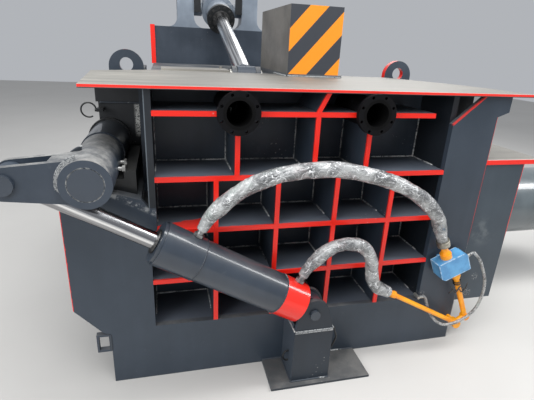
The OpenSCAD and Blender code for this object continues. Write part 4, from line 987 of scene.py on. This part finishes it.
wire("tie_wire_1", [(0.828, -0.080, 0.372), (0.846, -0.092, 0.404), (0.872, -0.084, 0.386),
                    (0.893, -0.082, 0.412), (0.918, -0.088, 0.396), (0.936, -0.080, 0.430)], 90)
wire("tie_wire_2", [(0.836, -0.078, 0.408), (0.858, -0.090, 0.380), (0.884, -0.084, 0.396),
                    (0.905, -0.084, 0.376), (0.932, -0.082, 0.404)], 80)
port_ring = 0.0195
for i, height in enumerate((-0.128, -0.142)):
    turn = np.radians(np.linspace(0, 360, 25))
    centre = valve_point(0.015, height)
    loop = [centre + port_ring * (math.cos(a) * valve_way + [0, math.sin(a), 0]) for a in turn]
    wire(f"tie_loop_wire_{i + 1}", loop, 60)
print("meshes:", len(bpy.data.meshes))

# %% [markdown]
# The machine stands on a plain pale floor under soft light: a big lamp above and in
# front, weaker ones at the left and behind, and an even grey sky that the steel can
# reflect. A long strip at the right draws the bright streak along the turning cylinder.

# %% Floor and light
floor_mesh = bpy.data.meshes.new("floor")
floor_corners = [(-14, -12, -0.001), (14, -12, -0.001), (14, 16, -0.001), (-14, 16, -0.001)]
floor_mesh.from_pydata(floor_corners, [], [(0, 1, 2, 3)])
floor = bpy.data.objects.new("floor", floor_mesh)
bpy.context.scene.collection.objects.link(floor)
ground = Finish("floor_concrete")
concrete = ground.mix(ground.noise(0.8, 5.0), (0.50, 0.49, 0.47), (0.58, 0.57, 0.55))
floor_mesh.materials.append(ground.close(concrete, 0.85))


def lamp(name, place, target, width, power, height=None):
    """A rectangle of light, square unless height is given, that faces its target."""
    data = bpy.data.lights.new(name, "AREA")
    data.shape, data.size, data.size_y, data.energy = "RECTANGLE", width, height or width, power
    made = bpy.data.objects.new(name, data)
    made.location = place
    z = np.asarray(place, float) - np.asarray(target, float)
    z /= np.linalg.norm(z)
    x = np.cross([0, 0, 1.0], z)
    x /= np.linalg.norm(x)
    made.rotation_mode = "QUATERNION"
    made.rotation_quaternion = Matrix(np.stack([x, np.cross(z, x), z], 1).tolist()).to_quaternion()
    bpy.context.scene.collection.objects.link(made)


lamp("top_lamp", (-0.5, -1.5, 6.0), (0, 1.0, 0.8), 5.0, 350)
lamp("right_strip", (3.3, -0.4, 3.9), (-0.35, -0.1, 0.65), 0.85, 120, 3.2)
lamp("left_lamp", (-5.0, -3.5, 3.0), (0, 0.3, 0.8), 3.0, 170)
lamp("back_lamp", (2.5, 5.5, 5.0), (0, 1.5, 1.2), 4.0, 160)
world = bpy.data.worlds.new("sky")
bpy.context.scene.world = world
world.use_nodes = True
world.node_tree.nodes["Background"].inputs["Color"].default_value = (0.80, 0.83, 0.88, 1)
world.node_tree.nodes["Background"].inputs["Strength"].default_value = 0.55
bpy.context.scene.view_settings.view_transform = "Standard"
print("lamps:", [light.name for light in bpy.data.lights])
